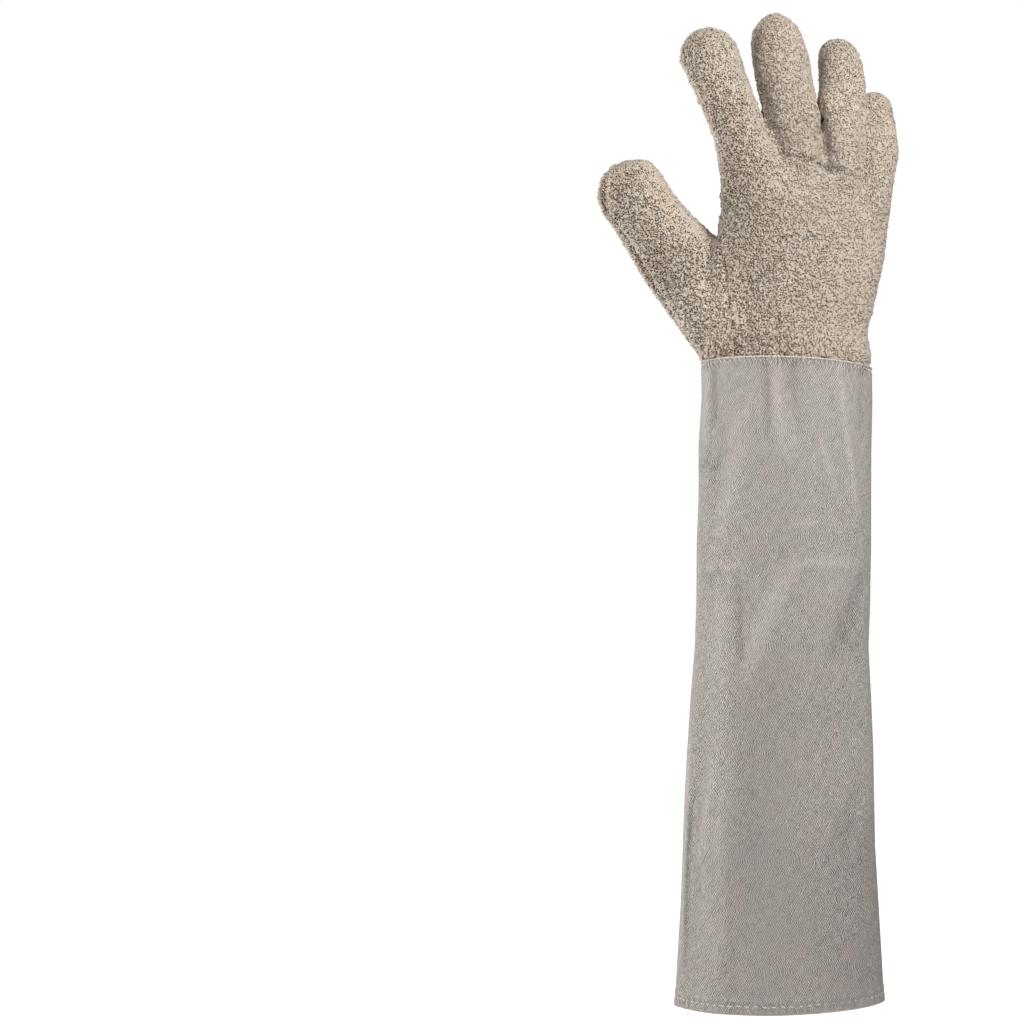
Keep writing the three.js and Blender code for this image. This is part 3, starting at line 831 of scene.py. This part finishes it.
def yarnLoop(index, shape):  # a triangle of yarn extruded ring by ring, then laid along the arch
    path, last = loopPath(shape), pile["segments"]
    bpy.ops.mesh.primitive_circle_add(vertices=3, radius=pile["yarn"] * mm, fill_type="NGON")
    loop = bpy.context.object
    loop.name = f"yarnLoop{index}"
    edited(loop, *[extrudeUp] * last)
    along = []
    for vertex in loop.data.vertices:
        k = round(vertex.co.z / mm)
        angle = math.atan2(vertex.co.y, vertex.co.x) + pile["cornerTurn"]
        ahead = (path[min(k + 1, last)] - path[max(k - 1, 0)]).normalized()
        side = ahead.cross(Vector(pile["sideways"])).normalized()
        across = side * math.cos(angle) + ahead.cross(side) * math.sin(angle)
        vertex.co = (path[k] + across * pile["yarn"]) * mm
        along.append(max(0.0, math.sin(math.pi * k / last)))
    edited(loop, faceOutwards)
    attributeOn(loop.data, "alongLoop", along)
    return finished(loop, loopYarn)


def randomIn(tree, kind, seed, inputs):
    seeded = {**inputs, "Seed": pile["seed"] + seed}
    return nodeIn(tree, "FunctionNodeRandomValue", seeded, data_type=kind).outputs


def namedIn(tree, name):
    return nodeIn(tree, "GeometryNodeInputNamedAttribute", {"Name": name}, data_type="FLOAT").outputs[0]


def pileNodes(loops):  # spreads the loops over one panel's faces of the bed, within a band of heights
    tree = bpy.data.node_groups.new("spreadLoops", "GeometryNodeTree")
    tree.is_modifier = True
    for label, kind in (("Bed", "Geometry"), ("Panel", "Float"), ("Low", "Float"), ("High", "Float")):
        tree.interface.new_socket(label, in_out="INPUT", socket_type=f"NodeSocket{kind}")
    tree.interface.new_socket("Pile", in_out="OUTPUT", socket_type="NodeSocketGeometry")
    given = nodeIn(tree, "NodeGroupInput").outputs
    result = nodeIn(tree, "NodeGroupOutput")
    place = nodeIn(tree, "GeometryNodeInputPosition").outputs[0]
    height = nodeIn(tree, "ShaderNodeSeparateXYZ", {0: place}).outputs["Z"]
    limits = ((height, "Low", "GREATER_EQUAL"), (height, "High", "LESS_THAN"),
              (namedIn(tree, "panel"), "Panel", "EQUAL"))
    tests = [nodeIn(tree, "FunctionNodeCompare", {0: value, 1: given[limit]}, data_type="FLOAT",
                    operation=way).outputs[0] for value, limit, way in limits]
    inBand = nodeIn(tree, "FunctionNodeBooleanMath", {0: tests[0], 1: tests[1]}, operation="AND").outputs[0]
    chosen = nodeIn(tree, "FunctionNodeBooleanMath", {0: inBand, 1: tests[2]}, operation="AND").outputs[0]
    spread = nodeIn(tree, "GeometryNodeDistributePointsOnFaces", {
        "Mesh": given["Bed"], "Selection": chosen, "Distance Min": pile["spacing"] * mm,
        "Density Max": pile["density"], "Seed": pile["seed"]}, distribute_method="POISSON").outputs

    # the loops lean away from the wrist, each turned a little its own way
    fromWrist = vectorNode(tree, "SUBTRACT", place, (0, 0, pile["rootHeight"]))[0]
    aimed = nodeIn(tree, "FunctionNodeAlignRotationToVector", {
        "Rotation": spread["Rotation"], "Vector": fromWrist}, axis="X", pivot_axis="Z").outputs[0]
    most, slant = Vector((pile["tilt"], pile["tilt"], pile["turn"])), Vector((0, 0, pile["slant"]))
    turns = randomIn(tree, "FLOAT_VECTOR", 1, {"Min": slant - most, "Max": slant + most})[0]
    euler = nodeIn(tree, "FunctionNodeEulerToRotation", {0: turns}).outputs[0]
    turned = nodeIn(tree, "FunctionNodeRotateRotation", {"Rotation": aimed, "Rotate By": euler},
                    rotation_space="LOCAL").outputs[0]

    # in clumps of taller and shorter loops, smaller beside a seam
    size = randomIn(tree, "FLOAT", 2, {2: pile["least"], 3: pile["most"]})[1]
    clumps = noiseIn(tree, place, pile["clumpScale"], 1.0)[0]
    inClump = chained(tree, clumps, ("SUBTRACT", 0.5), ("MULTIPLY", pile["clumps"]), ("ADD", 1.0),
                      ("MAXIMUM", pile["clumpLeast"]), ("MINIMUM", pile["clumpMost"]))
    besideSeam = chained(tree, namedIn(tree, "nearSeam"), ("MULTIPLY", -pile["atSeam"]), ("ADD", 1.0))
    scale = chained(tree, size, ("MULTIPLY", inClump), ("MULTIPLY", besideSeam))
    # pressed flatter towards the fingertips and the little finger
    slope = vectorNode(tree, "DOT_PRODUCT", place, pressedPile["towards"])["Value"]
    pressed = inRange(tree, slope, pressedPile["span"], (1.0, pressedPile["height"]))
    tall = mathNode(tree, "MULTIPLY", scale, pressed)
    scales = nodeIn(tree, "ShaderNodeCombineXYZ", {"X": scale, "Y": scale, "Z": tall}).outputs[0]

    choice = randomIn(tree, "INT", 3, {4: 0, 5: len(loopShapes) - 1})[2]
    source = nodeIn(tree, "GeometryNodeCollectionInfo", {"Collection": loops, "Separate Children": True})
    upward = nodeIn(tree, "GeometryNodeStoreNamedAttribute", {
        "Geometry": spread["Points"], "Name": "clothNormal", "Value": spread["Normal"]},
        data_type="FLOAT_VECTOR", domain="POINT").outputs[0]
    put = nodeIn(tree, "GeometryNodeInstanceOnPoints", {
        "Points": upward, "Instance": source.outputs[0], "Pick Instance": True, "Instance Index": choice,
        "Rotation": turned, "Scale": scales}).outputs[0]
    tone = randomIn(tree, "FLOAT", 4, {})[1]
    keep = nodeIn(tree, "GeometryNodeStoreNamedAttribute", {
        "Geometry": put, "Name": "loopTone", "Value": tone}, data_type="FLOAT", domain="INSTANCE").outputs[0]
    fill(tree, result, {"Pile": nodeIn(tree, "GeometryNodeRealizeInstances", {0: keep}).outputs[0]})
    return tree


def makePile():
    loops = bpy.data.collections.new("yarnLoops")
    for index, shape in enumerate(loopShapes):
        loop = yarnLoop(index, shape)
        bpy.context.collection.objects.unlink(loop)
        loops.objects.link(loop)
    tree = pileNodes(loops)
    sockets = {item.name: item.identifier for item in tree.interface.items_tree}
    pieces = {node: [] for node in terryPanels}
    for node, name, low, high in pileParts:
        piece = newPiece(name, bed.data.copy())
        activate(piece)
        modifier = piece.modifiers.new("Pile", "NODES")
        modifier.node_group = tree
        limits = {"Panel": float(list(terryPanels).index(node)), "Low": low * mm, "High": high * mm}
        for label, value in limits.items():
            modifier[sockets[label]] = value
        bpy.ops.object.modifier_apply(modifier=modifier.name)
        pieces[node].append(piece)
    for loop in list(loops.objects):
        bpy.data.objects.remove(loop)
    bpy.data.collections.remove(loops)
    return pieces


pilePieces = makePile()
bpy.data.objects.remove(bed)
print("pile ready:", {p.name: sum(len(f.vertices) - 2 for f in p.data.polygons)
                      for parts in pilePieces.values() for p in parts})


# the canvas cuff: a flat cut of canvas, rolled up and sewn into a tube along the side seam

cuffShape = {
    "rows": table("z left right halfDepth", [
        [0, -69.3, 68.0, 36], [35, -67.3, 66.0, 35.5], [70, -65.3, 64.0, 34], [103, -64.0, 62.0, 33.5],
        [136, -62.6, 61.3, 33], [168, -60.7, 60.7, 33], [201, -58.7, 59.4, 33], [234, -56.1, 57.6, 33],
        [262, -55.2, 58.6, 32.5], [300, -54.8, 59.4, 32.5], [332, -53.5, 59.4, 32], [365, -53.5, 59.4, 32],
        [398, -51.6, 60.0, 31.5], [420.6, -52.2, 60.0, 31.5],
    ]),
    # hollows (below zero) and folds, as on the solid. 0 degrees is the little-finger side and 90 the palm
    "folds": table("z angle height rise wide tilt", [
        [95, 205, -2.6, 95, 12, 0], [110, 228, 2.0, 110, 12, 0], [130, 250, -1.8, 90, 13, 0.05],
        [45, 290, -1.6, 60, 18, 0], [240, 318, -3.0, 26, 20, -0.35], [268, 300, 1.8, 34, 22, -0.3],
        [188, 305, -1.6, 24, 30, 0.2], [330, 215, -1.8, 55, 16, 0], [372, 262, 1.2, 30, 30, 0],
        [385, 66, -2.8, 22, 22, 0.3], [330, 105, 2.0, 45, 26, 0.3], [250, 80, -2.4, 50, 24, -0.25],
        [150, 110, 2.0, 70, 26, 0], [90, 62, -2.2, 80, 16, 0],
    ]),
    # creases of the back for the look alone: ridges, or grooves below zero, each a curve through three places
    "creaseStrength": 1.6, "creasesFade": 9.0, "overHem": (8, 16), "underTop": (2, 8), "foldsFade": 30.0,
    "creases": table("height wide startX startZ midX midZ endX endZ", [
        [-0.9, 2.4, -44.9, 436, -44.2, 397, -45.5, 372],
        [0.9, 3.0, -21.7, 388, -29.4, 374, -38.4, 361],
        [1.2, 5.5, -26.2, 368, -36.0, 332, -44.2, 286],
        [-1.2, 2.2, -57.0, 350, -47.4, 351.4, -39.0, 349],
        [-0.8, 2.6, -13.3, 440, -12.7, 388, -11.4, 364],
        [0.9, 2.6, -5.6, 446, -5.0, 380, 6.0, 350],
        [-0.8, 2.8, 2.1, 440, 4.7, 394, 10.5, 368],
        [0.7, 2.4, 11.0, 440, 17.6, 406, 25.0, 392],
        [1.1, 3.0, 29.0, 450, 41.0, 368, 49.1, 312],
        [0.8, 2.8, 20.8, 372, 27.2, 349, 34.9, 331],
        [-0.9, 2.6, 51.0, 440, 51.7, 394, 50.4, 370],
        [0.8, 2.8, 2.0, 314, 11.1, 312, 22.0, 315],
        [0.9, 2.2, -60.0, 284, -42.3, 285, -21.0, 286.5],
        [0.8, 2.6, -5.5, 282, 20.0, 288, 54.0, 285],
        [1.2, 6.0, 8.0, 289, -11.4, 253, -26.0, 200],
        [-0.8, 2.4, -29.4, 282, -28.8, 253, -28.8, 208],
        [0.8, 5.0, -41.0, 276, -41.0, 240, -42.3, 200],
        [-1.1, 5.0, 54.0, 290, 42.0, 252, 23.0, 216],
        [0.7, 3.2, -38.0, 190, -49.0, 125, -56.0, 90],
        [0.6, 3.6, -32.0, 182, -40.0, 120, -41.5, 84],
        [-0.5, 2.8, -36.0, 168, -44.5, 116, -48.0, 60],
        [0.6, 2.4, -40.5, 64, -41.5, 34, -41.0, 4],
        [0.5, 2.2, -27.0, 46, -28.0, 26, -27.0, 4],
        [-0.7, 1.6, -58.5, 142, -62.0, 88, -63.5, 14],
        [-0.8, 4.5, 49.0, 150, 42.0, 124, 32.0, 96],
    ]),
    # painted light where the canvas is paler, and painted shade below zero where it is a little darker
    "tones": table("height wide startX startZ midX midZ endX endZ", [
        [1.4, 1.8, -59.5, 200, -63.5, 110, -66.0, 30],
        [-1.1, 1.2, -57.0, 146, -61.4, 92, -62.5, 16],
        [1.0, 2.2, -49.5, 424, -49.8, 392, -51.0, 360],
        [-1.1, 26.0, 52.0, -20, 58.0, 60, 52.0, 140],
    ]),
}
sideSeam = {"atHem": 35, "atWrist": 25, "groove": -1.9, "grooveWide": 0.9, "atTop": 0.35, "welt": 0.8,
            "weltAt": -3.6, "weltWide": 2.2, "deepens": (2, 12)}
hem = {"height": 10.0, "stitchLine": 5.6, "swell": 0.45, "pinch": 0.3, "pinchWide": 1.1, "stitchPitch": 4.6,
       "step": (-1.2, 0.6), "thinsOver": 1.5, "dropFront": 2.2, "riseRight": 1.9, "lift": 0.7,
       "fadesAt": 120.0, "threadSunk": -0.15, "threadRise": 0.7, "risesOver": (-52, -34),
       "sinksOver": (4, 30)}
topEdge = {"roll": 0.15, "rollWide": 1.3, "stitchLine": 2.2, "pinch": 0.5, "pinchWide": 1.2, "pitch": 3.2,
           "fold": 8.0, "thickensOver": 1, "leansFrom": 250.0, "drop": 1.2, "dropSides": 1.3,
           "dropsFrom": 330.0}
clothRipples = {"broad": 0.30, "broadWave": 24, "fine": 0.12, "fineWave": 9, "gather": 0.30,
                "gatherWave": 4.5, "gatherAt": 9, "gatherWide": 8}
cuffMesh = {"columns": 232, "thin": 1.2, "doubled": 2.4}
foldPaintedLightAndShadeSettings = {"foldDepth": 5, "creases": 0.8, "fadesOver": 5, "most": 1.8}


def foldsAt(rows, degrees, z):
    total = 0.0
    for row in rows:
        off = turnFrom(degrees, row["angle"]) - row["tilt"] * (z - row["z"])
        total += row["height"] * bell(off / row["wide"], (z - row["z"]) / row["rise"])
    return total


def seamAngle(z):
    return sideSeam["atHem"] + (sideSeam["atWrist"] - sideSeam["atHem"]) * z / wristEdge


backCreases = [creaseCurve(row) for row in cuffShape["creases"]]
backPaintedLightAndShade = [creaseCurve(row) for row in cuffShape["tones"]]
broadWaves, fineWaves, gatherWaves = rippleWaves(3), rippleWaves(8), rippleWaves(21)


def cuffPoint(degrees, z, lift=0.0):  # mm in, mm out
    rows = cuffShape["rows"]
    left, right, deep = (atHeight(rows, column, z) for column in ("left", "right", "halfDepth"))
    angle = math.radians(degrees)
    place = Vector(((left + right) / 2 + (right - left) / 2 * math.cos(angle), deep * math.sin(angle), z))
    belowTop = smoothStep(wristEdge - z, 0, cuffShape["foldsFade"])
    out = lift + foldsAt(cuffShape["folds"], degrees, z) * belowTop
    out += clothRelief(degrees, place)
    place.x += out * math.cos(angle)
    place.y += out * math.sin(angle)
    lean = smoothStep(z, topEdge["leansFrom"], wristEdge)
    place.z += lean * (wristSeam["slopeX"] * place.x + wristSeam["slopeY"] * place.y)
    drop = topEdge["drop"] + topEdge["dropSides"] * math.cos(angle) ** 2
    place.z -= smoothStep(z, topEdge["dropsFrom"], wristEdge) * drop
    cut = hem["lift"] + hem["riseRight"] * math.cos(angle) - hem["dropFront"] * math.sin(angle) ** 2
    place.z += cut * (1 - smoothStep(z, 0, hem["fadesAt"]))
    return place


def clothRelief(degrees, place):  # the fine relief of the cloth: seam, hem, wrist gathers and soft creases
    z = place.z
    off = turnFrom(degrees, seamAngle(z))
    fromTop = wristEdge - z
    depth = sideSeam["atTop"] + (1 - sideSeam["atTop"]) * smoothStep(fromTop, *sideSeam["deepens"])
    out = sideSeam["groove"] * bell(off / sideSeam["grooveWide"]) * depth
    out += sideSeam["welt"] * bell((off - sideSeam["weltAt"]) / sideSeam["weltWide"])
    if place.y < 0:
        inCloth = smoothStep(z, *cuffShape["overHem"]) * smoothStep(fromTop, *cuffShape["underTop"])
        drawn = creasesAt(backCreases, place.x, z) * inCloth * cuffShape["creaseStrength"]
        out += drawn * smoothStep(-place.y, 0, cuffShape["creasesFade"])
    broad = rippled(place / clothRipples["broadWave"], broadWaves)
    fine = rippled(place / clothRipples["fineWave"], fineWaves)
    out += clothRipples["broad"] * broad + clothRipples["fine"] * fine
    # the doubled hem stands out a little, pulled in along its stitches
    stepFrom, stepTo = (hem["height"] + off for off in hem["step"])
    out += hem["swell"] * (1 - smoothStep(z, stepFrom, stepTo))
    out -= hem["pinch"] * bell((z - hem["stitchLine"]) / hem["pinchWide"])
    # the folded top edge rolls out over its row of stitches
    out += topEdge["roll"] * bell(fromTop / topEdge["rollWide"])
    out -= topEdge["pinch"] * bell((fromTop - topEdge["stitchLine"]) / topEdge["pinchWide"])
    gather = bell((fromTop - clothRipples["gatherAt"]) / clothRipples["gatherWide"])
    level = Vector((place.x, place.y, 0))
    out += clothRipples["gather"] * gather * rippled(level / clothRipples["gatherWave"], gatherWaves)
    return out


hemAround, wristAround = 337.0, 281.0  # mm round the cuff
hemStitches, topStitches = round(hemAround / hem["stitchPitch"]), round(wristAround / topEdge["pitch"])
hemStitchTurn, topStitchTurn = 360 / hemStitches, 360 / topStitches


def seamColumns():  # steps round the cuff in degrees from the seam, closer together beside it
    near = [0, 0.35, 0.7, 1.1, 1.6, 2.2, 2.9, 3.7, 4.6, 5.6]
    count = cuffMesh["columns"] - 2 * len(near) + 1
    step = (360 - 2 * near[-1]) / count
    middle = [near[-1] + step * k for k in range(1, count)]
    return near + middle + [360 - value for value in reversed(near)]


def cuffHeights():  # rows of the mesh, closer together at the hem and under the wrist
    hemRows, plainRows, wristRows, hemTop, gathersFrom = 15, 156, 30, 12.0, 398.0
    rows = [hemTop * k / hemRows for k in range(hemRows)]
    rows += [hemTop + (gathersFrom - hemTop) * k / plainRows for k in range(plainRows)]
    rows += [gathersFrom + (wristEdge - gathersFrom) * k / wristRows for k in range(wristRows + 1)]
    return rows


def foldPaintedLightAndShade(degrees, place):  # how far a fold stands up there: painted light on ridges and painted shade in hollows and grooves, with the back's painted strips added
    tone = foldsAt(cuffShape["folds"], degrees, place.z) / foldPaintedLightAndShadeSettings["foldDepth"]
    if place.y < 0:
        creases = creasesAt(backCreases, place.x, place.z) * foldPaintedLightAndShadeSettings["creases"]
        drawn = creases + creasesAt(backPaintedLightAndShade, place.x, place.z)
        tone += drawn * smoothStep(-place.y, 0, foldPaintedLightAndShadeSettings["fadesOver"])
    return min(max(tone, -foldPaintedLightAndShadeSettings["most"]), foldPaintedLightAndShadeSettings["most"])


def makeCuff():
    around, heights = seamColumns(), cuffHeights()
    bpy.ops.mesh.primitive_grid_add(x_subdivisions=len(around) - 1, y_subdivisions=len(heights) - 1, size=1,
                                    calc_uvs=True)
    cuff = bpy.context.object
    cuff.name = "canvasCuff"
    mesh = cuff.data
    spots = []
    for vertex in mesh.vertices:  # the flat cut's column and row
        column = round((vertex.co.x + 0.5) * (len(around) - 1))
        row = round((vertex.co.y + 0.5) * (len(heights) - 1))
        spots.append((column, row))
    places, lengths = {}, {}
    for row, z in enumerate(heights):
        ring = [cuffPoint(seamAngle(z) + turn, z) for turn in around]
        run, total = [0.0], 0.0
        for a, b in zip(ring[:-1], ring[1:]):
            total += math.hypot(b.x - a.x, b.y - a.y)
            run.append(total)
        zero = min(range(len(around)), key=lambda k: abs((seamAngle(z) + around[k]) - 270))
        for column in range(len(around)):
            places[column, row] = ring[column]
            lengths[column, row] = run[column] - run[zero]
    for vertex, spot in zip(mesh.vertices, spots):
        vertex.co = places[spot] * mm
    mesh.uv_layers[0].name = "clothPlace"
    own = mesh.uv_layers["clothPlace"].data
    for loop in mesh.loops:
        column, row = spots[loop.vertex_index]
        own[loop.index].uv = (lengths[column, row] * mm, heights[row] * mm)
    tones = [foldPaintedLightAndShade(seamAngle(heights[row]) + around[column], places[column, row]) for column, row in spots]
    attributeOn(mesh, "foldPaintedLightAndShade", tones)
    doubled = cuff.vertex_groups.new(name="doubled")
    thinShare, foldFrom = cuffMesh["thin"] / cuffMesh["doubled"], wristEdge - topEdge["fold"]
    for vertex, (column, row) in zip(mesh.vertices, spots):
        z = heights[row]
        share = max(1 - smoothStep(z, hem["height"] - hem["thinsOver"], hem["height"]),
                    smoothStep(z, foldFrom, foldFrom + topEdge["thickensOver"]))
        doubled.add([vertex.index], thinShare + (1 - thinShare) * share, "REPLACE")
    edited(cuff, mergeDoubles, faceOutwards)
    middle = mesh.polygons[len(mesh.polygons) // 2]
    if middle.normal.dot(Vector((middle.center.x, middle.center.y, 0))) < 0:
        mesh.flip_normals()
    applied(cuff, "SOLIDIFY", thickness=cuffMesh["doubled"] * mm, offset=-1, vertex_group="doubled")
    return finished(cuff, cuffCanvas)


cuff = makeCuff()
print("cuff ready:", len(cuff.data.polygons))


# rows of stitches

stitch = {"hemLength": 3.2, "hemThick": 0.65, "topLength": 1.6, "topThick": 0.4, "sides": 6, "rings": 6,
          "dip": 0.45, "seamGap": 1.5, "probe": 0.8, "topLift": 0.05, "hemWander": 0.2, "topWander": 0.25,
          "hemTilt": 0.12, "topTilt": (0.05, 0.4)}


def stitchModel(length, thick):  # one stitch along X, its ends bent down into the cloth along -Z
    bpy.ops.mesh.primitive_uv_sphere_add(segments=stitch["sides"], ring_count=stitch["rings"], radius=1.0,
                                         rotation=(0, math.pi / 2, 0))
    bpy.ops.object.transform_apply(rotation=True)
    model = bpy.context.object
    for vertex in model.data.vertices:
        t = vertex.co.x
        fuller = (1 - abs(t) ** 3) ** 0.5 / max((1 - t * t) ** 0.5, 0.02) if abs(t) < 0.999 else 1.0
        vertex.co = Vector((t * length / 2, vertex.co.y * fuller * thick / 2,
                            vertex.co.z * fuller * thick / 2 - stitch["dip"] * thick * t * t)) * mm
    return model


def stitchRow(name, spots, length, thick):  # spots are (place, direction, outward) in mm
    model = stitchModel(length, thick)
    copies = []
    for place, ahead, outward in spots:
        across = outward.cross(ahead).normalized()
        turn = Matrix((ahead, across, ahead.cross(across))).transposed().to_4x4()
        copy = newPiece(name, model.data.copy())
        copy.data.transform(Matrix.Translation(place * mm) @ turn)
        copies.append(copy)
    bpy.data.objects.remove(model)
    return finished(joined(copies, name), stitchThread)


def cuffFrame(degrees, z, lift):  # a place on the cuff, the way round it and the way out
    place = cuffPoint(degrees, z, lift)
    step = stitch["probe"]
    around = (cuffPoint(degrees + step, z) - cuffPoint(degrees - step, z)).normalized()
    up = (cuffPoint(degrees, z + step) - cuffPoint(degrees, z - step)).normalized()
    return place, around, up, around.cross(up).normalized()


def hemLift(degrees):  # how far out the thread lies: sunk in at the sides and at the right of the back
    x = cuffPoint(degrees, hem["stitchLine"]).x
    sinks = smoothStep(x, *hem["sinksOver"])
    return hem["threadSunk"] + hem["threadRise"] * smoothStep(x, *hem["risesOver"]) * (1 - sinks)


def makeStitches():
    dice = random.Random(4)
    hemSpots, topSpots = [], []
    for k in range(hemStitches):
        degrees = (k + 0.5) * hemStitchTurn
        if abs(turnFrom(degrees, seamAngle(0))) < stitch["seamGap"]:
            continue
        z = hem["stitchLine"] + dice.uniform(-stitch["hemWander"], stitch["hemWander"])
        place, around, up, outward = cuffFrame(degrees, z, hemLift(degrees))
        ahead = around + up * dice.uniform(-stitch["hemTilt"], stitch["hemTilt"])
        hemSpots.append((place, ahead.normalized(), outward))
    for k in range(topStitches):
        degrees = k * topStitchTurn
        z = wristEdge - topEdge["stitchLine"] + dice.uniform(-stitch["topWander"], stitch["topWander"])
        place, around, up, outward = cuffFrame(degrees, z, stitch["topLift"])
        ahead = up + around * dice.uniform(*stitch["topTilt"])
        topSpots.append((place, ahead.normalized(), outward))
    return [stitchRow("hemStitches", hemSpots, stitch["hemLength"], stitch["hemThick"]),
            stitchRow("wristStitches", topSpots, stitch["topLength"], stitch["topThick"])]


stitches = makeStitches()
print("stitches ready:", [len(piece.data.polygons) for piece in stitches])


# what each piece rides on and replaces

for node, facts in terryPanels.items():
    piece = groundPieces[node]
    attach(piece, "root")
    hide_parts(node)
    for part in pilePieces[node]:
        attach(part, "root")

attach(cuff, "root")
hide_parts("canvas_cuff")
for piece in stitches:
    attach(piece, "root")

bpy.ops.object.select_all(action="DESELECT")
